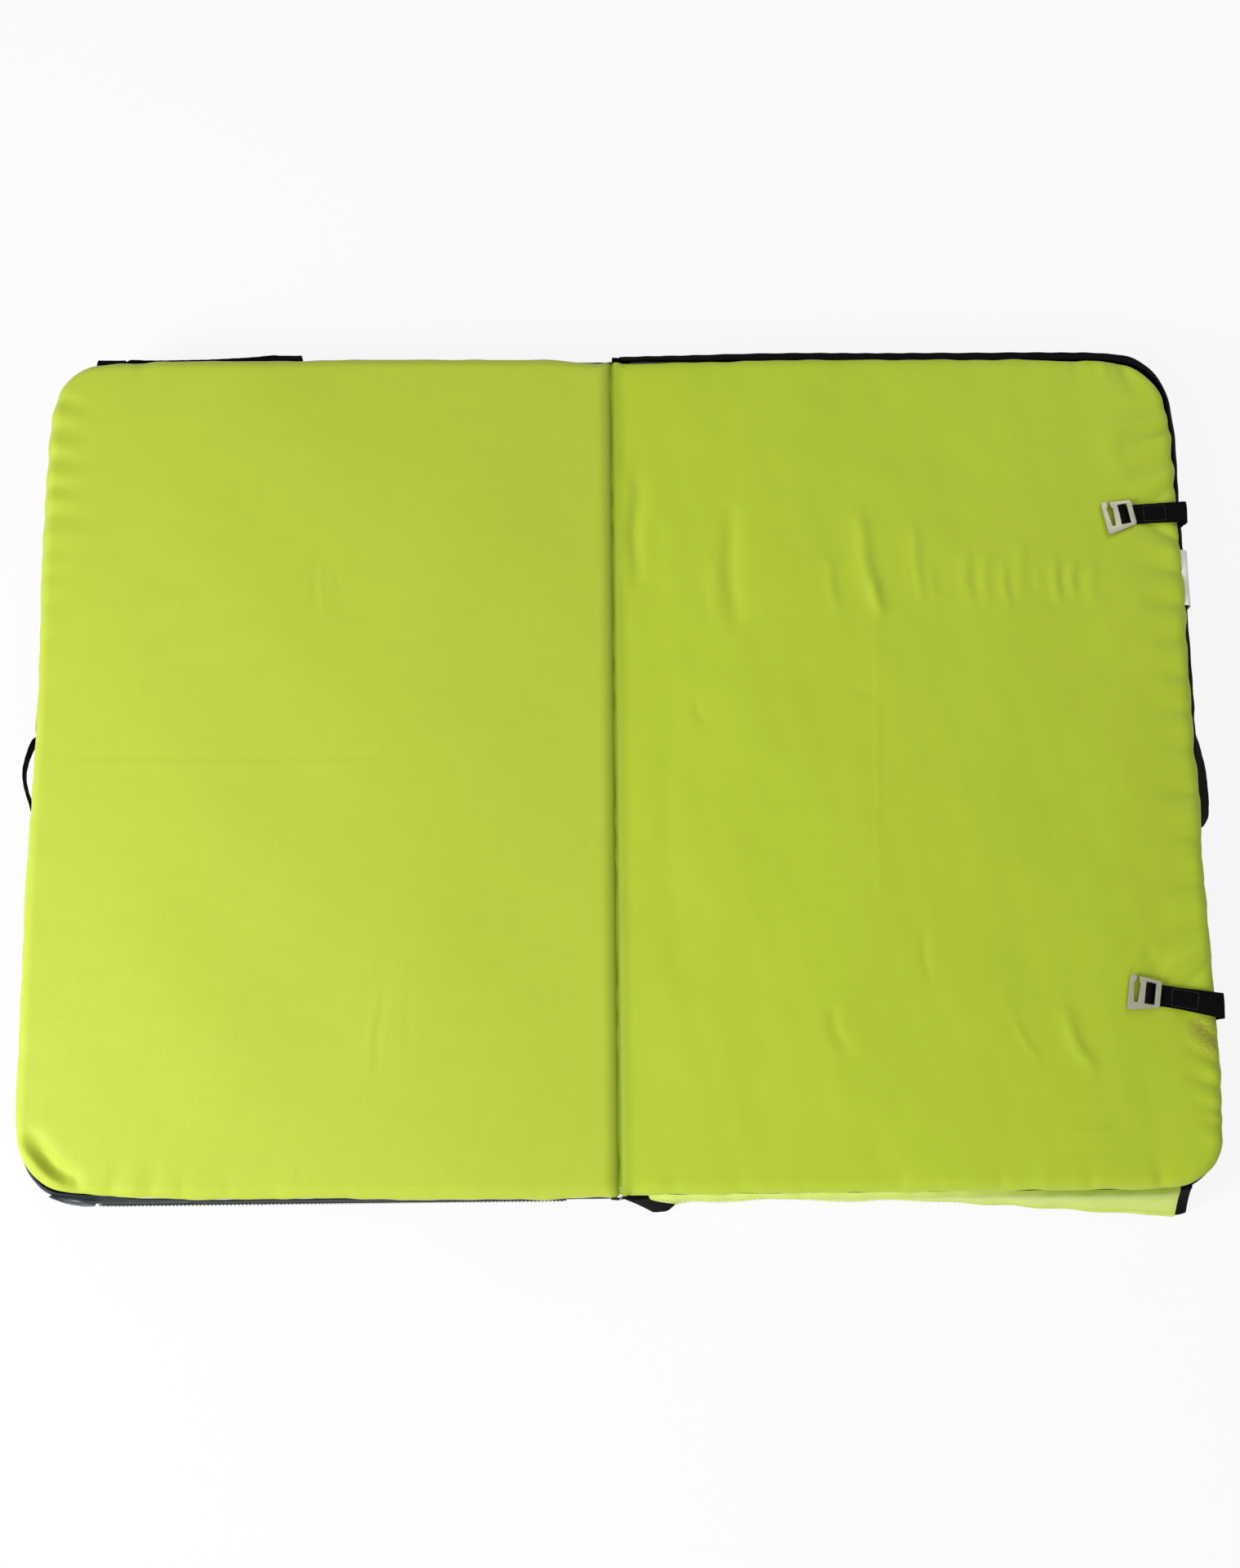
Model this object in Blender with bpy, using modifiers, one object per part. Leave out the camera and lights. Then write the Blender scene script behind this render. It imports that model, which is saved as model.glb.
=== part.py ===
"""A folding bouldering crash pad, lying open on the ground with its landing side up.

Metres, +Z up. +X runs across both halves, +Y from the flap end to the far end. The fold runs along Y
at the middle, level with the rim of the landing cover. Each half is a sewn cover round three layers
of foam. The right half folds over onto the left one and carries the straps, the flap and the harness.
"""

import math

import bmesh
import bpy
from mathutils import Matrix, Vector

# The whole pad
PAD_WIDTH = 1.344  # outer rim to outer rim of the landing covers, both halves open
COVER_LENGTH = 0.984  # landing cover, near rim to far rim
PAD_THICKNESS = 0.100  # ground to the rim of the landing cover
FIT = 0.0003  # gap between pieces that touch
OVERRUN = 0.005  # how far a cutter passes the faces that it cuts

# Plan of one half, measured from the fold
FOLD_CLEARANCE = 0.0065  # fold line to the landing cover
OUTER_CORNER = 0.055
FOLD_CORNER = 0.012
INNER_EASE_SHARE = 0.1  # how much rounder each corner gets for each step inwards
ARC_STEPS = 6
SIDE_STEPS = 5
SIDES = ("fold", "outer", "near", "far")

# Layers, from the ground up
BASE_SHEET = 0.002
BASE_FOAM = 0.012
LANDING_FOAM = 0.012
COVER_SHEET = 0.002
BASE_FOAM_INSET = 0.0005
CORE_SHOULDER = 0.0035  # height of the sloping rim at the top of the foam core
COVER_GAP = 0.0004  # foam to the inside of the landing cover

# Landing cover: a crowned cushion top
CROWN = 0.006
CROWN_REACH = 0.240  # how far in from the rim the face goes on rising
CROWN_STEP_SHARES = (0.12, 0.25, 0.42, 0.66, 1.0)
RIM_STEPS = 4
SKIRT = 0.004  # seam allowance below the rim
RIM_ROUND = {"fold": 0.008, "outer": 0.014, "near": 0.014, "far": 0.014}
SEAM_DROP = {
    "left": {"fold": 0.008, "outer": 0.018, "near": 0.010, "far": 0.012},
    "right": {"fold": 0.008, "outer": 0.008, "near": 0.012, "far": 0.005},
}

# Side wall: how far it swells past the landing cover's rim
WALL_SHEET = 0.002
WALL_SWELL = {
    "left": {"fold": 0.0025, "outer": 0.003, "near": 0.004, "far": 0.004},
    "right": {"fold": 0.0025, "outer": 0.007, "near": 0.004, "far": 0.013},
}
WALL_BELLY = {"fold": 0.0, "outer": 0.001, "near": 0.001, "far": 0.001}
WALL_FOOT = 0.004
WALL_LOW = 0.012
SHOULDER_DROP = 0.006
LIP_DROP = 0.0005

# Fold tape: a bead on the fold axis and a web down the left half's inner wall
BEAD_RADIUS = 0.003
TAPE_SHEET = 0.0017
TAPE_DROP = 0.030
TAPE_END_GAP = 0.012
BEAD_END = 200  # degrees round the bead, where the left half's web leaves it
FOLD_SLEEVE_END = 18  # degrees round the bead, short of the left half's web when the pad is shut

# Zips on the inner walls, through which the foam goes in
ZIP_HEIGHT = 0.016
ZIP_SHEET = 0.0012
ZIP_LEVEL = 0.030
ZIP_END_GAP = 0.060
SLIDER_SIZE = (0.0014, 0.012, 0.008)
SLIDER_INSET = 0.030

# Webbing grab handles that swing in sewn sleeves
HANDLE_LEVEL = 0.055
HANDLE_REACH = 0.028  # outside of each side handle past the landing cover's rim
HANDLE_SHEET = 0.004
HANDLE_HEIGHT = 0.022
STUB_RADIUS = 0.003
STUB_LENGTH = 0.016
SLEEVE_WALL = 0.0012
SLEEVE_CLEARANCE = 0.0003
SLEEVE_LENGTH = 0.018
TAB_HEIGHT = 0.034
TAB_SHEET = 0.002
HANDLE_STEPS = 16
HANDLE_SIDES = 10
LEFT_HANDLE_SHIFT = 0.014  # its middle, from the middle of the half towards the near end
LEFT_HANDLE_LENGTH = 0.150
RIGHT_HANDLE_SHIFT = 0.014
RIGHT_HANDLE_LENGTH = 0.180
FAR_HANDLE_INSET = 0.178  # its middle, in from the outer edge
FAR_HANDLE_LENGTH = 0.240
FAR_HANDLE_LEVEL = 0.052
FAR_HANDLE_REACH = 0.024  # outside of the far handle past the landing cover's far rim

# Closure straps on the right half's outer edge
STRAP_INSETS = {"far": 0.198, "near": 0.201}  # in from that end of the landing cover
STRAP_LENGTHS = {"far": 0.0627, "near": 0.0715}  # root to the crease beside the hook
STRAP_TURNS = {"far": 4.0, "near": -9.5}  # degrees, seen from above, anticlockwise
STRAP_WIDTH = 0.024
STRAP_SHEET = 0.002
STRAP_TILT = 2.6  # degrees, up onto the crowned face
ROOT_OUT = 0.0085  # strap root past the landing cover's rim
ROOT_RISE = 0.0002
PATCH_SHEET = 0.002
PATCH_WIDTH = 0.034
PATCH_FOOT = 0.026
PATCH_BEND = 0.086
PATCH_TOP_GAP = 0.0004

# Metal hooks, each held by a sewn loop of webbing round a bar across its window
HOOK_LENGTH = 0.0365
HOOK_TIP_WIDTH = 0.040
HOOK_END_WIDTH = 0.031
HOOK_FAR_TAPER_SHARE = 0.3  # of the taper, on the side of the mouth
HOOK_PLATE = 0.0023
HOOK_STRIP = 0.006
HOOK_WINDOW = 0.0115
HOOK_WINDOW_WIDTH = 0.0246
HOOK_MIDDLE = 0.006
HOOK_SLOT = 0.0078
HOOK_SLOT_FOOT = 0.0045
HOOK_NECK = 0.005  # length of the mouth
HOOK_FOOT = 0.0075  # metal left beyond the slot's narrow end
HOOK_MOUTH = 0.0035
HOOK_CORNER = 0.003
HOOK_TILT = 1.4
BAR_RADIUS = 0.0014
BAR_CLEARANCE = 0.0004
EYE_WALL = 0.0012
EYE_STEPS = 20
CREASE_GAP = 0.0003
STRIP_GAP = 0.0003

# Loops on the left half's outer wall that the hooks clip into
LOOP_WIDTH = 0.025
LOOP_SHEET = 0.002
LOOP_GAP = 0.0052
LOOP_FOOT = 0.012
LOOP_LOW = 0.018
LOOP_HIGH = 0.074
LOOP_RISE = 0.010

# Closing flap along the right half's near edge
FLAP_START = 0.008
FLAP_START_SLANT = 0.054
FLAP_END_INSET = 0.034
FLAP_END_SLANT = -0.006  # the hem runs on past the top there
FLAP_DROP = 0.080
FLAP_SHEET = 0.002
FLAP_SEAM_DROP = 0.001
FLAP_STAND_OFF = 0.0045
FLAP_FLARE = 0.021
FLAP_STEPS = 30
FLAP_DOWN_STEPS = 6
FLAP_CURVE = 1.6
FLARE_SHARES = (
    (0.00, 0.40),
    (0.03, 0.30),
    (0.07, 0.02),
    (0.18, 0.00),
    (0.38, 0.12),
    (0.45, 0.00),
    (0.56, 0.20),
    (0.66, 0.40),
    (0.76, 0.62),
    (0.88, 0.88),
    (1.00, 1.00),
)
BINDING_START_SHARE = 0.038
BINDING_END_SHARE = 0.980
FLAP_TAPE_SHEET = 0.0012
FLAP_TAPE_SHARES = (0.68, 0.94)

# Catch tape on the left half's near wall
CATCH_HEIGHT = 0.025
CATCH_SHEET = 0.0015
CATCH_LEVEL = 0.045
CATCH_START = 0.060
CATCH_LENGTH = 0.520

# Blank fabric tag on the right half's outer wall
TAG_INSET = 0.283  # in from the far end
TAG_WIDTH = 0.056
TAG_HEIGHT = 0.028
TAG_SHEET = 0.0012
TAG_TOP_DROP = 0.013

# Shoulder harness, lying in a hollow of the right half's base
TRAY_WIDTH = 0.340
TRAY_FAR_INSET = 0.181
TRAY_NEAR_INSET = 0.103
SHOULDER_TOP_INSET = 0.261
SHOULDER_LENGTH = 0.370
SHOULDER_WIDTH = 0.062
SHOULDER_SHEET = 0.009
SHOULDER_TOP_SPREAD = 0.050
SHOULDER_SPREAD = 0.112
SHOULDER_TIP_SHARES = (0.85, 0.6)  # width of the last two sections
SHOULDER_STEPS = 12
SHOULDER_SIDES = 12
YOKE_WIDTH = 0.200
YOKE_LENGTH = 0.050
YOKE_SHEET = 0.003
BUCKLE_WIDTH = 0.034
BUCKLE_LENGTH = 0.030
BUCKLE_SHEET = 0.005
BUCKLE_BAR = 0.004
TAIL_WIDTH = 0.025
TAIL_SHEET = 0.0016
TAIL_SIDES = 8
TAIL_SPREAD = 0.016  # how far the tail runs outwards on its way to the anchor
ANCHOR_SIZE = 0.036
ANCHOR_INSET = 0.136
ANCHOR_SHEET = 0.003

# Colours
LIME = (0.50, 0.60, 0.045)
BLACK_CLOTH = (0.012, 0.012, 0.013)
SLATE_CLOTH = (0.030, 0.036, 0.042)
WEBBING_BLACK = (0.008, 0.008, 0.009)
FOAM_GREY = (0.20, 0.21, 0.22)
FOAM_PALE = (0.62, 0.60, 0.50)
METAL_GREY = (0.52, 0.50, 0.44)
TAG_PALE = (0.78, 0.78, 0.76)
BUCKLE_BLACK = (0.015, 0.015, 0.016)

# Worked out from the sizes above
OUTER_EDGE = {"left": PAD_WIDTH / 2, "right": PAD_WIDTH / 2}
RIGHT_SEAM_NEAR = PAD_THICKNESS - SEAM_DROP["right"]["near"] - FLAP_SEAM_DROP
FLAP_PIVOT_OUT = WALL_SWELL["right"]["near"] + FIT + FLAP_SHEET / 2
FLAP_REACH = FLAP_PIVOT_OUT + FLAP_STAND_OFF + FLAP_FLARE + FLAP_SHEET / 2
FAR_EDGE = (COVER_LENGTH + FLAP_REACH - FAR_HANDLE_REACH) / 2
NEAR_EDGE = FAR_EDGE - COVER_LENGTH
BASE_FOAM_LOW = BASE_SHEET + FIT
BASE_FOAM_HIGH = BASE_FOAM_LOW + BASE_FOAM
CORE_LOW = BASE_FOAM_HIGH + FIT
LANDING_FOAM_RIM = PAD_THICKNESS - COVER_SHEET - FIT
LANDING_FOAM_LOW = LANDING_FOAM_RIM - LANDING_FOAM
CORE_HIGH = LANDING_FOAM_LOW - FIT
HALF_MIDDLE = (FOLD_CLEARANCE + OUTER_EDGE["right"]) / 2
STRAP_PLACES = {
    "far": FAR_EDGE - STRAP_INSETS["far"],
    "near": NEAR_EDGE + STRAP_INSETS["near"],
}
FLAP_END = OUTER_EDGE["right"] - FLAP_END_INSET
TRAY_FAR = FAR_EDGE - TRAY_FAR_INSET
TRAY_NEAR = NEAR_EDGE + TRAY_NEAR_INSET
SHOULDER_TOP = FAR_EDGE - SHOULDER_TOP_INSET
SHOULDER_BOTTOM = SHOULDER_TOP - SHOULDER_LENGTH
ANCHOR_FAR = NEAR_EDGE + ANCHOR_INSET + ANCHOR_SIZE
TRAY_CEILING = BASE_FOAM_HIGH - BASE_SHEET

WAY = {"left": -1, "right": 1}


def clear_scene():
    for thing in list(bpy.data.objects):
        bpy.data.objects.remove(thing)


def new_collection(name):
    collection = bpy.data.collections.new(name)
    bpy.context.scene.collection.children.link(collection)
    return collection


clear_scene()
PARTS = new_collection("crash_pad")
CUTTERS = new_collection("cutters")
CUTTERS.hide_render = True


def material(name, colour, roughness, metallic=0.0):
    made = bpy.data.materials.new(name)
    made.use_nodes = True
    shader = made.node_tree.nodes["Principled BSDF"]
    shader.inputs["Base Color"].default_value = (*colour, 1.0)
    shader.inputs["Roughness"].default_value = roughness
    shader.inputs["Metallic"].default_value = metallic
    return made


def add(name, data, finish, collection=PARTS):
    """A new object of the part, with its own material."""
    made = bpy.data.objects.new(name, data)
    collection.objects.link(made)
    if finish:
        data.materials.append(material(name, *finish))
    return made


def mesh_object(name, shape, finish, collection=PARTS):
    """The object of a finished bmesh, shaded smooth but for its sharp edges."""
    data = bpy.data.meshes.new(name)
    shape.to_mesh(data)
    shape.free()
    data.shade_smooth()
    data.set_sharp_from_angle(angle=math.radians(40))
    return add(name, data, finish, collection)


def thicken(thing, thickness, offset=-1.0):
    solid = thing.modifiers.new("sheet", "SOLIDIFY")
    solid.thickness = thickness
    solid.offset = offset
    solid.use_even_offset = True


def box(name, low, high, finish, collection=PARTS):
    """A block between two corners."""
    shape = bmesh.new()
    middle = (Vector(low) + Vector(high)) / 2
    size = Vector(high) - Vector(low)
    place = Matrix.Translation(middle) @ Matrix.Diagonal((*size, 1))
    bmesh.ops.create_cube(shape, size=1, matrix=place)
    return mesh_object(name, shape, finish, collection)


def hide(cutter):
    cutter.hide_render = True
    cutter.display_type = "WIRE"
    return cutter


def cutter_box(name, low, high):
    return hide(box(name, low, high, None, CUTTERS))


def combine(thing, other, operation):
    step = thing.modifiers.new(operation.lower(), "BOOLEAN")
    step.object = other
    step.operation = operation
    step.solver = "EXACT"


def flat_outline(name, outlines, thickness, finish, place):
    """An extruded flat outline, with any further outlines as holes. Its plane is turned by place."""
    curve = bpy.data.curves.new(name, "CURVE")
    curve.dimensions = "2D"
    curve.fill_mode = "BOTH"
    curve.extrude = thickness / 2
    for outline in outlines:
        spline = curve.splines.new("POLY")
        spline.points.add(len(outline) - 1)
        for point, (across, up) in zip(spline.points, outline):
            point.co = (across, up, 0, 1)
        spline.use_cyclic_u = True
    made = add(name, curve, finish)
    made.matrix_world = place
    return made


def upright_across(x, y, z):
    """A flat outline's plane stood up along X and Z, with its thickness along Y."""
    return Matrix.Translation((x, y, z)) @ Matrix.Rotation(math.radians(90), 4, "X")


def arc(middle, radius, start, end, steps):
    """Points of an arc, angles in degrees."""
    points = []
    for step in range(steps + 1):
        angle = math.radians(start + (end - start) * step / steps)
        across = middle[0] + radius * math.cos(angle)
        up = middle[1] + radius * math.sin(angle)
        points.append((across, up))
    return points


def same(value):
    return dict.fromkeys(SIDES, value)


def plus(*many):
    return {side: sum(each[side] for each in many) for side in SIDES}


def times(factor, values):
    return {side: factor * values[side] for side in SIDES}


def corner_radius(base, grow):
    """A corner keeps its distance when the rim grows, and gets rounder when it shrinks."""
    return base + (grow if grow > 0 else -INNER_EASE_SHARE * grow)


def ring(half, grow, height):
    """Points once round a half, anticlockwise seen from above: its rim grown and its height by side."""
    edge = {
        "fold": FOLD_CLEARANCE - grow["fold"],
        "outer": OUTER_EDGE[half] + grow["outer"],
        "near": NEAR_EDGE - grow["near"],
        "far": FAR_EDGE + grow["far"],
    }
    corners = (
        ("fold", "near", FOLD_CORNER, 180),
        ("outer", "near", OUTER_CORNER, 270),
        ("outer", "far", OUTER_CORNER, 0),
        ("fold", "far", FOLD_CORNER, 90),
    )
    points = []
    for along_x, along_y, base, start in corners:
        radius = corner_radius(base, (grow[along_x] + grow[along_y]) / 2)
        inward_x = radius if along_x == "fold" else -radius
        inward_y = radius if along_y == "near" else -radius
        middle = (edge[along_x] + inward_x, edge[along_y] + inward_y)
        turned = arc(middle, radius, start, start + 90, ARC_STEPS)
        for step, (x, y) in enumerate(turned):
            angle = math.radians(start + 90 * step / ARC_STEPS)
            level = math.cos(angle) ** 2 * height[along_x] + math.sin(angle) ** 2 * height[along_y]
            points.append(Vector((x, y, level)))
    count = ARC_STEPS + 1
    closed = []
    for corner in range(len(corners)):
        closed += points[corner * count : (corner + 1) * count]
        start = closed[-1]
        end = points[(corner + 1) * count % len(points)]
        closed += [start.lerp(end, step / SIDE_STEPS) for step in range(1, SIDE_STEPS)]
    if half == "left":
        closed = [Vector((-point.x, point.y, point.z)) for point in reversed(closed)]
    return closed


def loft(name, rings, finish, cap_first=False, cap_last=False):
    """A skin from ring to ring, each with as many points. The last ring is the top one."""
    shape = bmesh.new()
    loops = [[shape.verts.new(point) for point in points] for points in rings]
    for lower, upper in zip(loops, loops[1:]):
        for i in range(len(lower)):
            j = (i + 1) % len(lower)
            shape.faces.new((lower[i], lower[j], upper[j], upper[i]))
    if cap_first:
        shape.faces.new(reversed(loops[0]))
    if cap_last:
        shape.faces.new(loops[-1])
    return mesh_object(name, shape, finish)


def crown_height(depth):
    """Rise of the landing face at a depth in from the rim."""
    return CROWN * (1 - (1 - depth / CROWN_REACH) ** 2)


def crown_rings(half, inset, rim_level):
    """Rings over the crowned top, from inside the rounded rim in to the middle."""
    rings = []
    for share in CROWN_STEP_SHARES:
        depth = {side: RIM_ROUND[side] + (CROWN_REACH - RIM_ROUND[side]) * share for side in SIDES}
        level = {side: rim_level + crown_height(depth[side]) for side in SIDES}
        rings.append(ring(half, plus(same(-inset), times(-1, depth)), level))
    return rings


def rim_profile(half, side):
    """The landing cover's rounded rim as depths in from the seam and levels."""
    profile = []
    for step in range(RIM_STEPS + 1):
        angle = math.radians(90 * step / RIM_STEPS)
        depth = RIM_ROUND[side] * (1 - math.cos(angle))
        fall = SEAM_DROP[half][side] * (1 - math.sin(angle))
        profile.append((depth, PAD_THICKNESS - fall + crown_height(depth)))
    return profile


def depth_under_cover(half, side, level):
    """Depth in from the seam at which foam of this level stays clear of the cover's inside."""
    gap = COVER_SHEET + COVER_GAP
    profile = rim_profile(half, side)
    depths = [gap]
    for start, end in zip(profile, profile[1:]):
        run, rise = end[0] - start[0], end[1] - start[1]
        length = math.hypot(run, rise)
        inner_depth = start[0] + gap * rise / length
        inner_level = start[1] - gap * run / length
        depths.append(inner_depth + (level - inner_level) * run / rise)
    return max(depths)


def foam_depths(half, level):
    return {side: depth_under_cover(half, side, level[side]) for side in SIDES}


def make_landing_cover(half):
    hem_level = plus(same(PAD_THICKNESS - SKIRT), times(-1, SEAM_DROP[half]))
    rings = [ring(half, same(0), hem_level)]
    for step in range(RIM_STEPS + 1):
        points = {side: rim_profile(half, side)[step] for side in SIDES}
        inwards = {side: -points[side][0] for side in SIDES}
        rings.append(ring(half, inwards, {side: points[side][1] for side in SIDES}))
    rings += crown_rings(half, 0, PAD_THICKNESS)
    made = loft(half + "_landing_cover", rings, (LIME, 0.75), cap_last=True)
    thicken(made, COVER_SHEET)
    return made


def make_landing_foam(half):
    top = PAD_THICKNESS - COVER_SHEET - COVER_GAP
    rings = []
    for step in range(RIM_STEPS + 1):
        share = math.sin(math.radians(90 * step / RIM_STEPS))
        level = {
            side: LANDING_FOAM_LOW + (top + crown_height(RIM_ROUND[side]) - LANDING_FOAM_LOW) * share
            for side in SIDES
        }
        rings.append(ring(half, times(-1, foam_depths(half, level)), level))
    rings += crown_rings(half, COVER_SHEET + COVER_GAP, top)
    finish = (FOAM_GREY, 0.85)
    return loft(half + "_landing_foam", rings, finish, cap_first=True, cap_last=True)


def make_slab(name, half, grow, low, high, finish):
    """A flat layer with the half's plan."""
    rings = [ring(half, same(grow), same(low)), ring(half, same(grow), same(high))]
    return loft(name, rings, finish, cap_first=True, cap_last=True)


def make_foam_core(half):
    """The thick foam, which fills the side wall up to its shoulder and steps in under the cover."""
    wide = plus(WALL_SWELL[half], same(-WALL_SHEET - FIT))
    skirt_foot = plus(same(PAD_THICKNESS - SKIRT - 2 * FIT), times(-1, SEAM_DROP[half]))
    top = times(-1, foam_depths(half, same(CORE_HIGH)))
    step_level = {side: min(skirt_foot[side], CORE_HIGH - FIT) for side in SIDES}
    rings = [
        ring(half, wide, same(CORE_LOW)),
        ring(half, wide, plus(step_level, same(-CORE_SHOULDER))),
        ring(half, top, step_level),
        ring(half, top, same(CORE_HIGH)),
    ]
    finish = (FOAM_PALE, 0.95)
    return loft(half + "_foam_core", rings, finish, cap_first=True, cap_last=True)


def make_side_wall(half):
    swell = WALL_SWELL[half]
    seam = plus(same(PAD_THICKNESS), times(-1, SEAM_DROP[half]))
    rings = [
        ring(half, same(WALL_FOOT), same(BASE_SHEET + FIT)),
        ring(half, same(WALL_FOOT), same(BASE_SHEET + FIT + WALL_SHEET)),
        ring(half, swell, same(WALL_LOW)),
        ring(half, plus(swell, WALL_BELLY), same(PAD_THICKNESS / 2)),
        ring(half, swell, plus(seam, same(-SHOULDER_DROP))),
        ring(half, same(WALL_SHEET + FIT), plus(seam, same(-LIP_DROP))),
    ]
    made = loft(half + "_side_wall", rings, (SLATE_CLOTH if half == "left" else BLACK_CLOTH, 0.5))
    thicken(made, WALL_SHEET)
    return made


def tray_corners(margin, low, high):
    """Opposite corners of the hollow for the harness, with a margin round it."""
    near_left = (HALF_MIDDLE - TRAY_WIDTH / 2 - margin, TRAY_NEAR - margin, low)
    far_right = (HALF_MIDDLE + TRAY_WIDTH / 2 + margin, TRAY_FAR + margin, high)
    return near_left, far_right


def make_base(half):
    """The base cover and the stiff foam over it. The right half's have a hollow for the harness."""
    cover = make_slab(half + "_base_cover", half, WALL_FOOT, 0, BASE_SHEET, (BLACK_CLOTH, 0.7))
    foam = make_slab(
        half + "_base_foam", half, -BASE_FOAM_INSET, BASE_FOAM_LOW, BASE_FOAM_HIGH, (FOAM_GREY, 0.9)
    )
    if half == "right":
        shell = cutter_box("tray_shell", *tray_corners(BASE_SHEET, BASE_SHEET / 2, BASE_FOAM_HIGH))
        hollow = cutter_box("tray_hollow", *tray_corners(0, -OVERRUN, TRAY_CEILING))
        window = cutter_box(
            "tray_window", *tray_corners(BASE_SHEET + FIT, -OVERRUN, BASE_FOAM_HIGH + OVERRUN)
        )
        combine(cover, shell, "UNION")
        combine(cover, hollow, "DIFFERENCE")
        combine(foam, window, "DIFFERENCE")
    return [cover, foam]


def make_half(half):
    """Foam, cover, wall and base of one half."""
    return [
        make_foam_core(half),
        make_landing_foam(half),
        make_landing_cover(half),
        make_side_wall(half),
        *make_base(half),
        *make_zip(half),
    ]


def inner_wall_face(half):
    """X of the outside of a half's inner wall, next to the fold."""
    return WAY[half] * (FOLD_CLEARANCE - WALL_SWELL[half]["fold"])


def between(a, b):
    return min(a, b), max(a, b)


def make_zip(half):
    """The zip on the inner wall, and its slider near one end."""
    face = inner_wall_face(half) - WAY[half] * FIT
    left, right = between(face, face - WAY[half] * ZIP_SHEET)
    low, high = ZIP_LEVEL - ZIP_HEIGHT / 2, ZIP_LEVEL + ZIP_HEIGHT / 2
    near, far = NEAR_EDGE + ZIP_END_GAP, FAR_EDGE - ZIP_END_GAP
    teeth = box(half + "_foam_zip", (left, near, low), (right, far, high), (WEBBING_BLACK, 0.6))
    thick, long, tall = SLIDER_SIZE
    front = face - WAY[half] * (ZIP_SHEET + FIT)
    left, right = between(front, front - WAY[half] * thick)
    start = near + SLIDER_INSET if half == "left" else far - SLIDER_INSET - long
    slider = box(
        half + "_zip_slider",
        (left, start, ZIP_LEVEL - tall / 2),
        (right, start + long, ZIP_LEVEL + tall / 2),
        (METAL_GREY, 0.35, 0.9),
    )
    return [teeth, slider]


def tape_piece(name, outline):
    length = COVER_LENGTH - 2 * TAPE_END_GAP
    middle = (NEAR_EDGE + FAR_EDGE) / 2
    return flat_outline(name, [outline], length, (LIME, 0.8), upright_across(0, middle, PAD_THICKNESS))


def make_fold_tape():
    """The left half of the fold's tape: a round bead on the fold axis, with a web down the wall."""
    outside = inner_wall_face("left") + FIT
    inside = outside + TAPE_SHEET
    meet = math.degrees(math.acos(inside / BEAD_RADIUS))
    bead = arc((0, 0), BEAD_RADIUS, -meet, BEAD_END, EYE_STEPS)
    outline = [*bead, (outside, -BEAD_RADIUS), (outside, -TAPE_DROP), (inside, -TAPE_DROP)]
    return tape_piece("fold_hinge_tape", outline)


def make_fold_sleeve():
    """The right half of the fold's tape: a web down the wall that curls round the bead's side."""
    outside = inner_wall_face("right") - FIT
    inside = outside - TAPE_SHEET
    inner = BEAD_RADIUS + FIT
    outer = inner + SLEEVE_WALL
    inner_start = math.degrees(math.acos(inside / inner))
    outer_start = math.degrees(math.acos(outside / outer))
    outline = [
        (inside, -TAPE_DROP),
        (outside, -TAPE_DROP),
        *arc((0, 0), outer, -outer_start, FOLD_SLEEVE_END, EYE_STEPS // 2),
        *arc((0, 0), inner, FOLD_SLEEVE_END, -inner_start, EYE_STEPS // 2),
    ]
    return tape_piece("fold_hinge_sleeve", outline)


def sweep(name, path, across, upright, sides, finish, squareness=0.6):
    """A closed strap or grip along a level path, with its half sizes across the path and upright."""
    rings = []
    for i, point in enumerate(path):
        ahead = path[min(i + 1, len(path) - 1)] - path[max(i - 1, 0)]
        sideways = Vector((0, 0, 1)).cross(ahead.normalized())
        section = []
        for side in range(sides):
            angle = math.tau * (side + 0.5) / sides
            a, b = math.cos(angle), math.sin(angle)
            a = math.copysign(abs(a) ** squareness, a)
            b = math.copysign(abs(b) ** squareness, b)
            section.append(point + sideways * (a * across[i]) + Vector((0, 0, b * upright[i])))
        rings.append(section)
    return loft(name, rings, finish, cap_first=True, cap_last=True)


def sleeve_radius():
    return STUB_RADIUS + SLEEVE_CLEARANCE + SLEEVE_WALL


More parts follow.
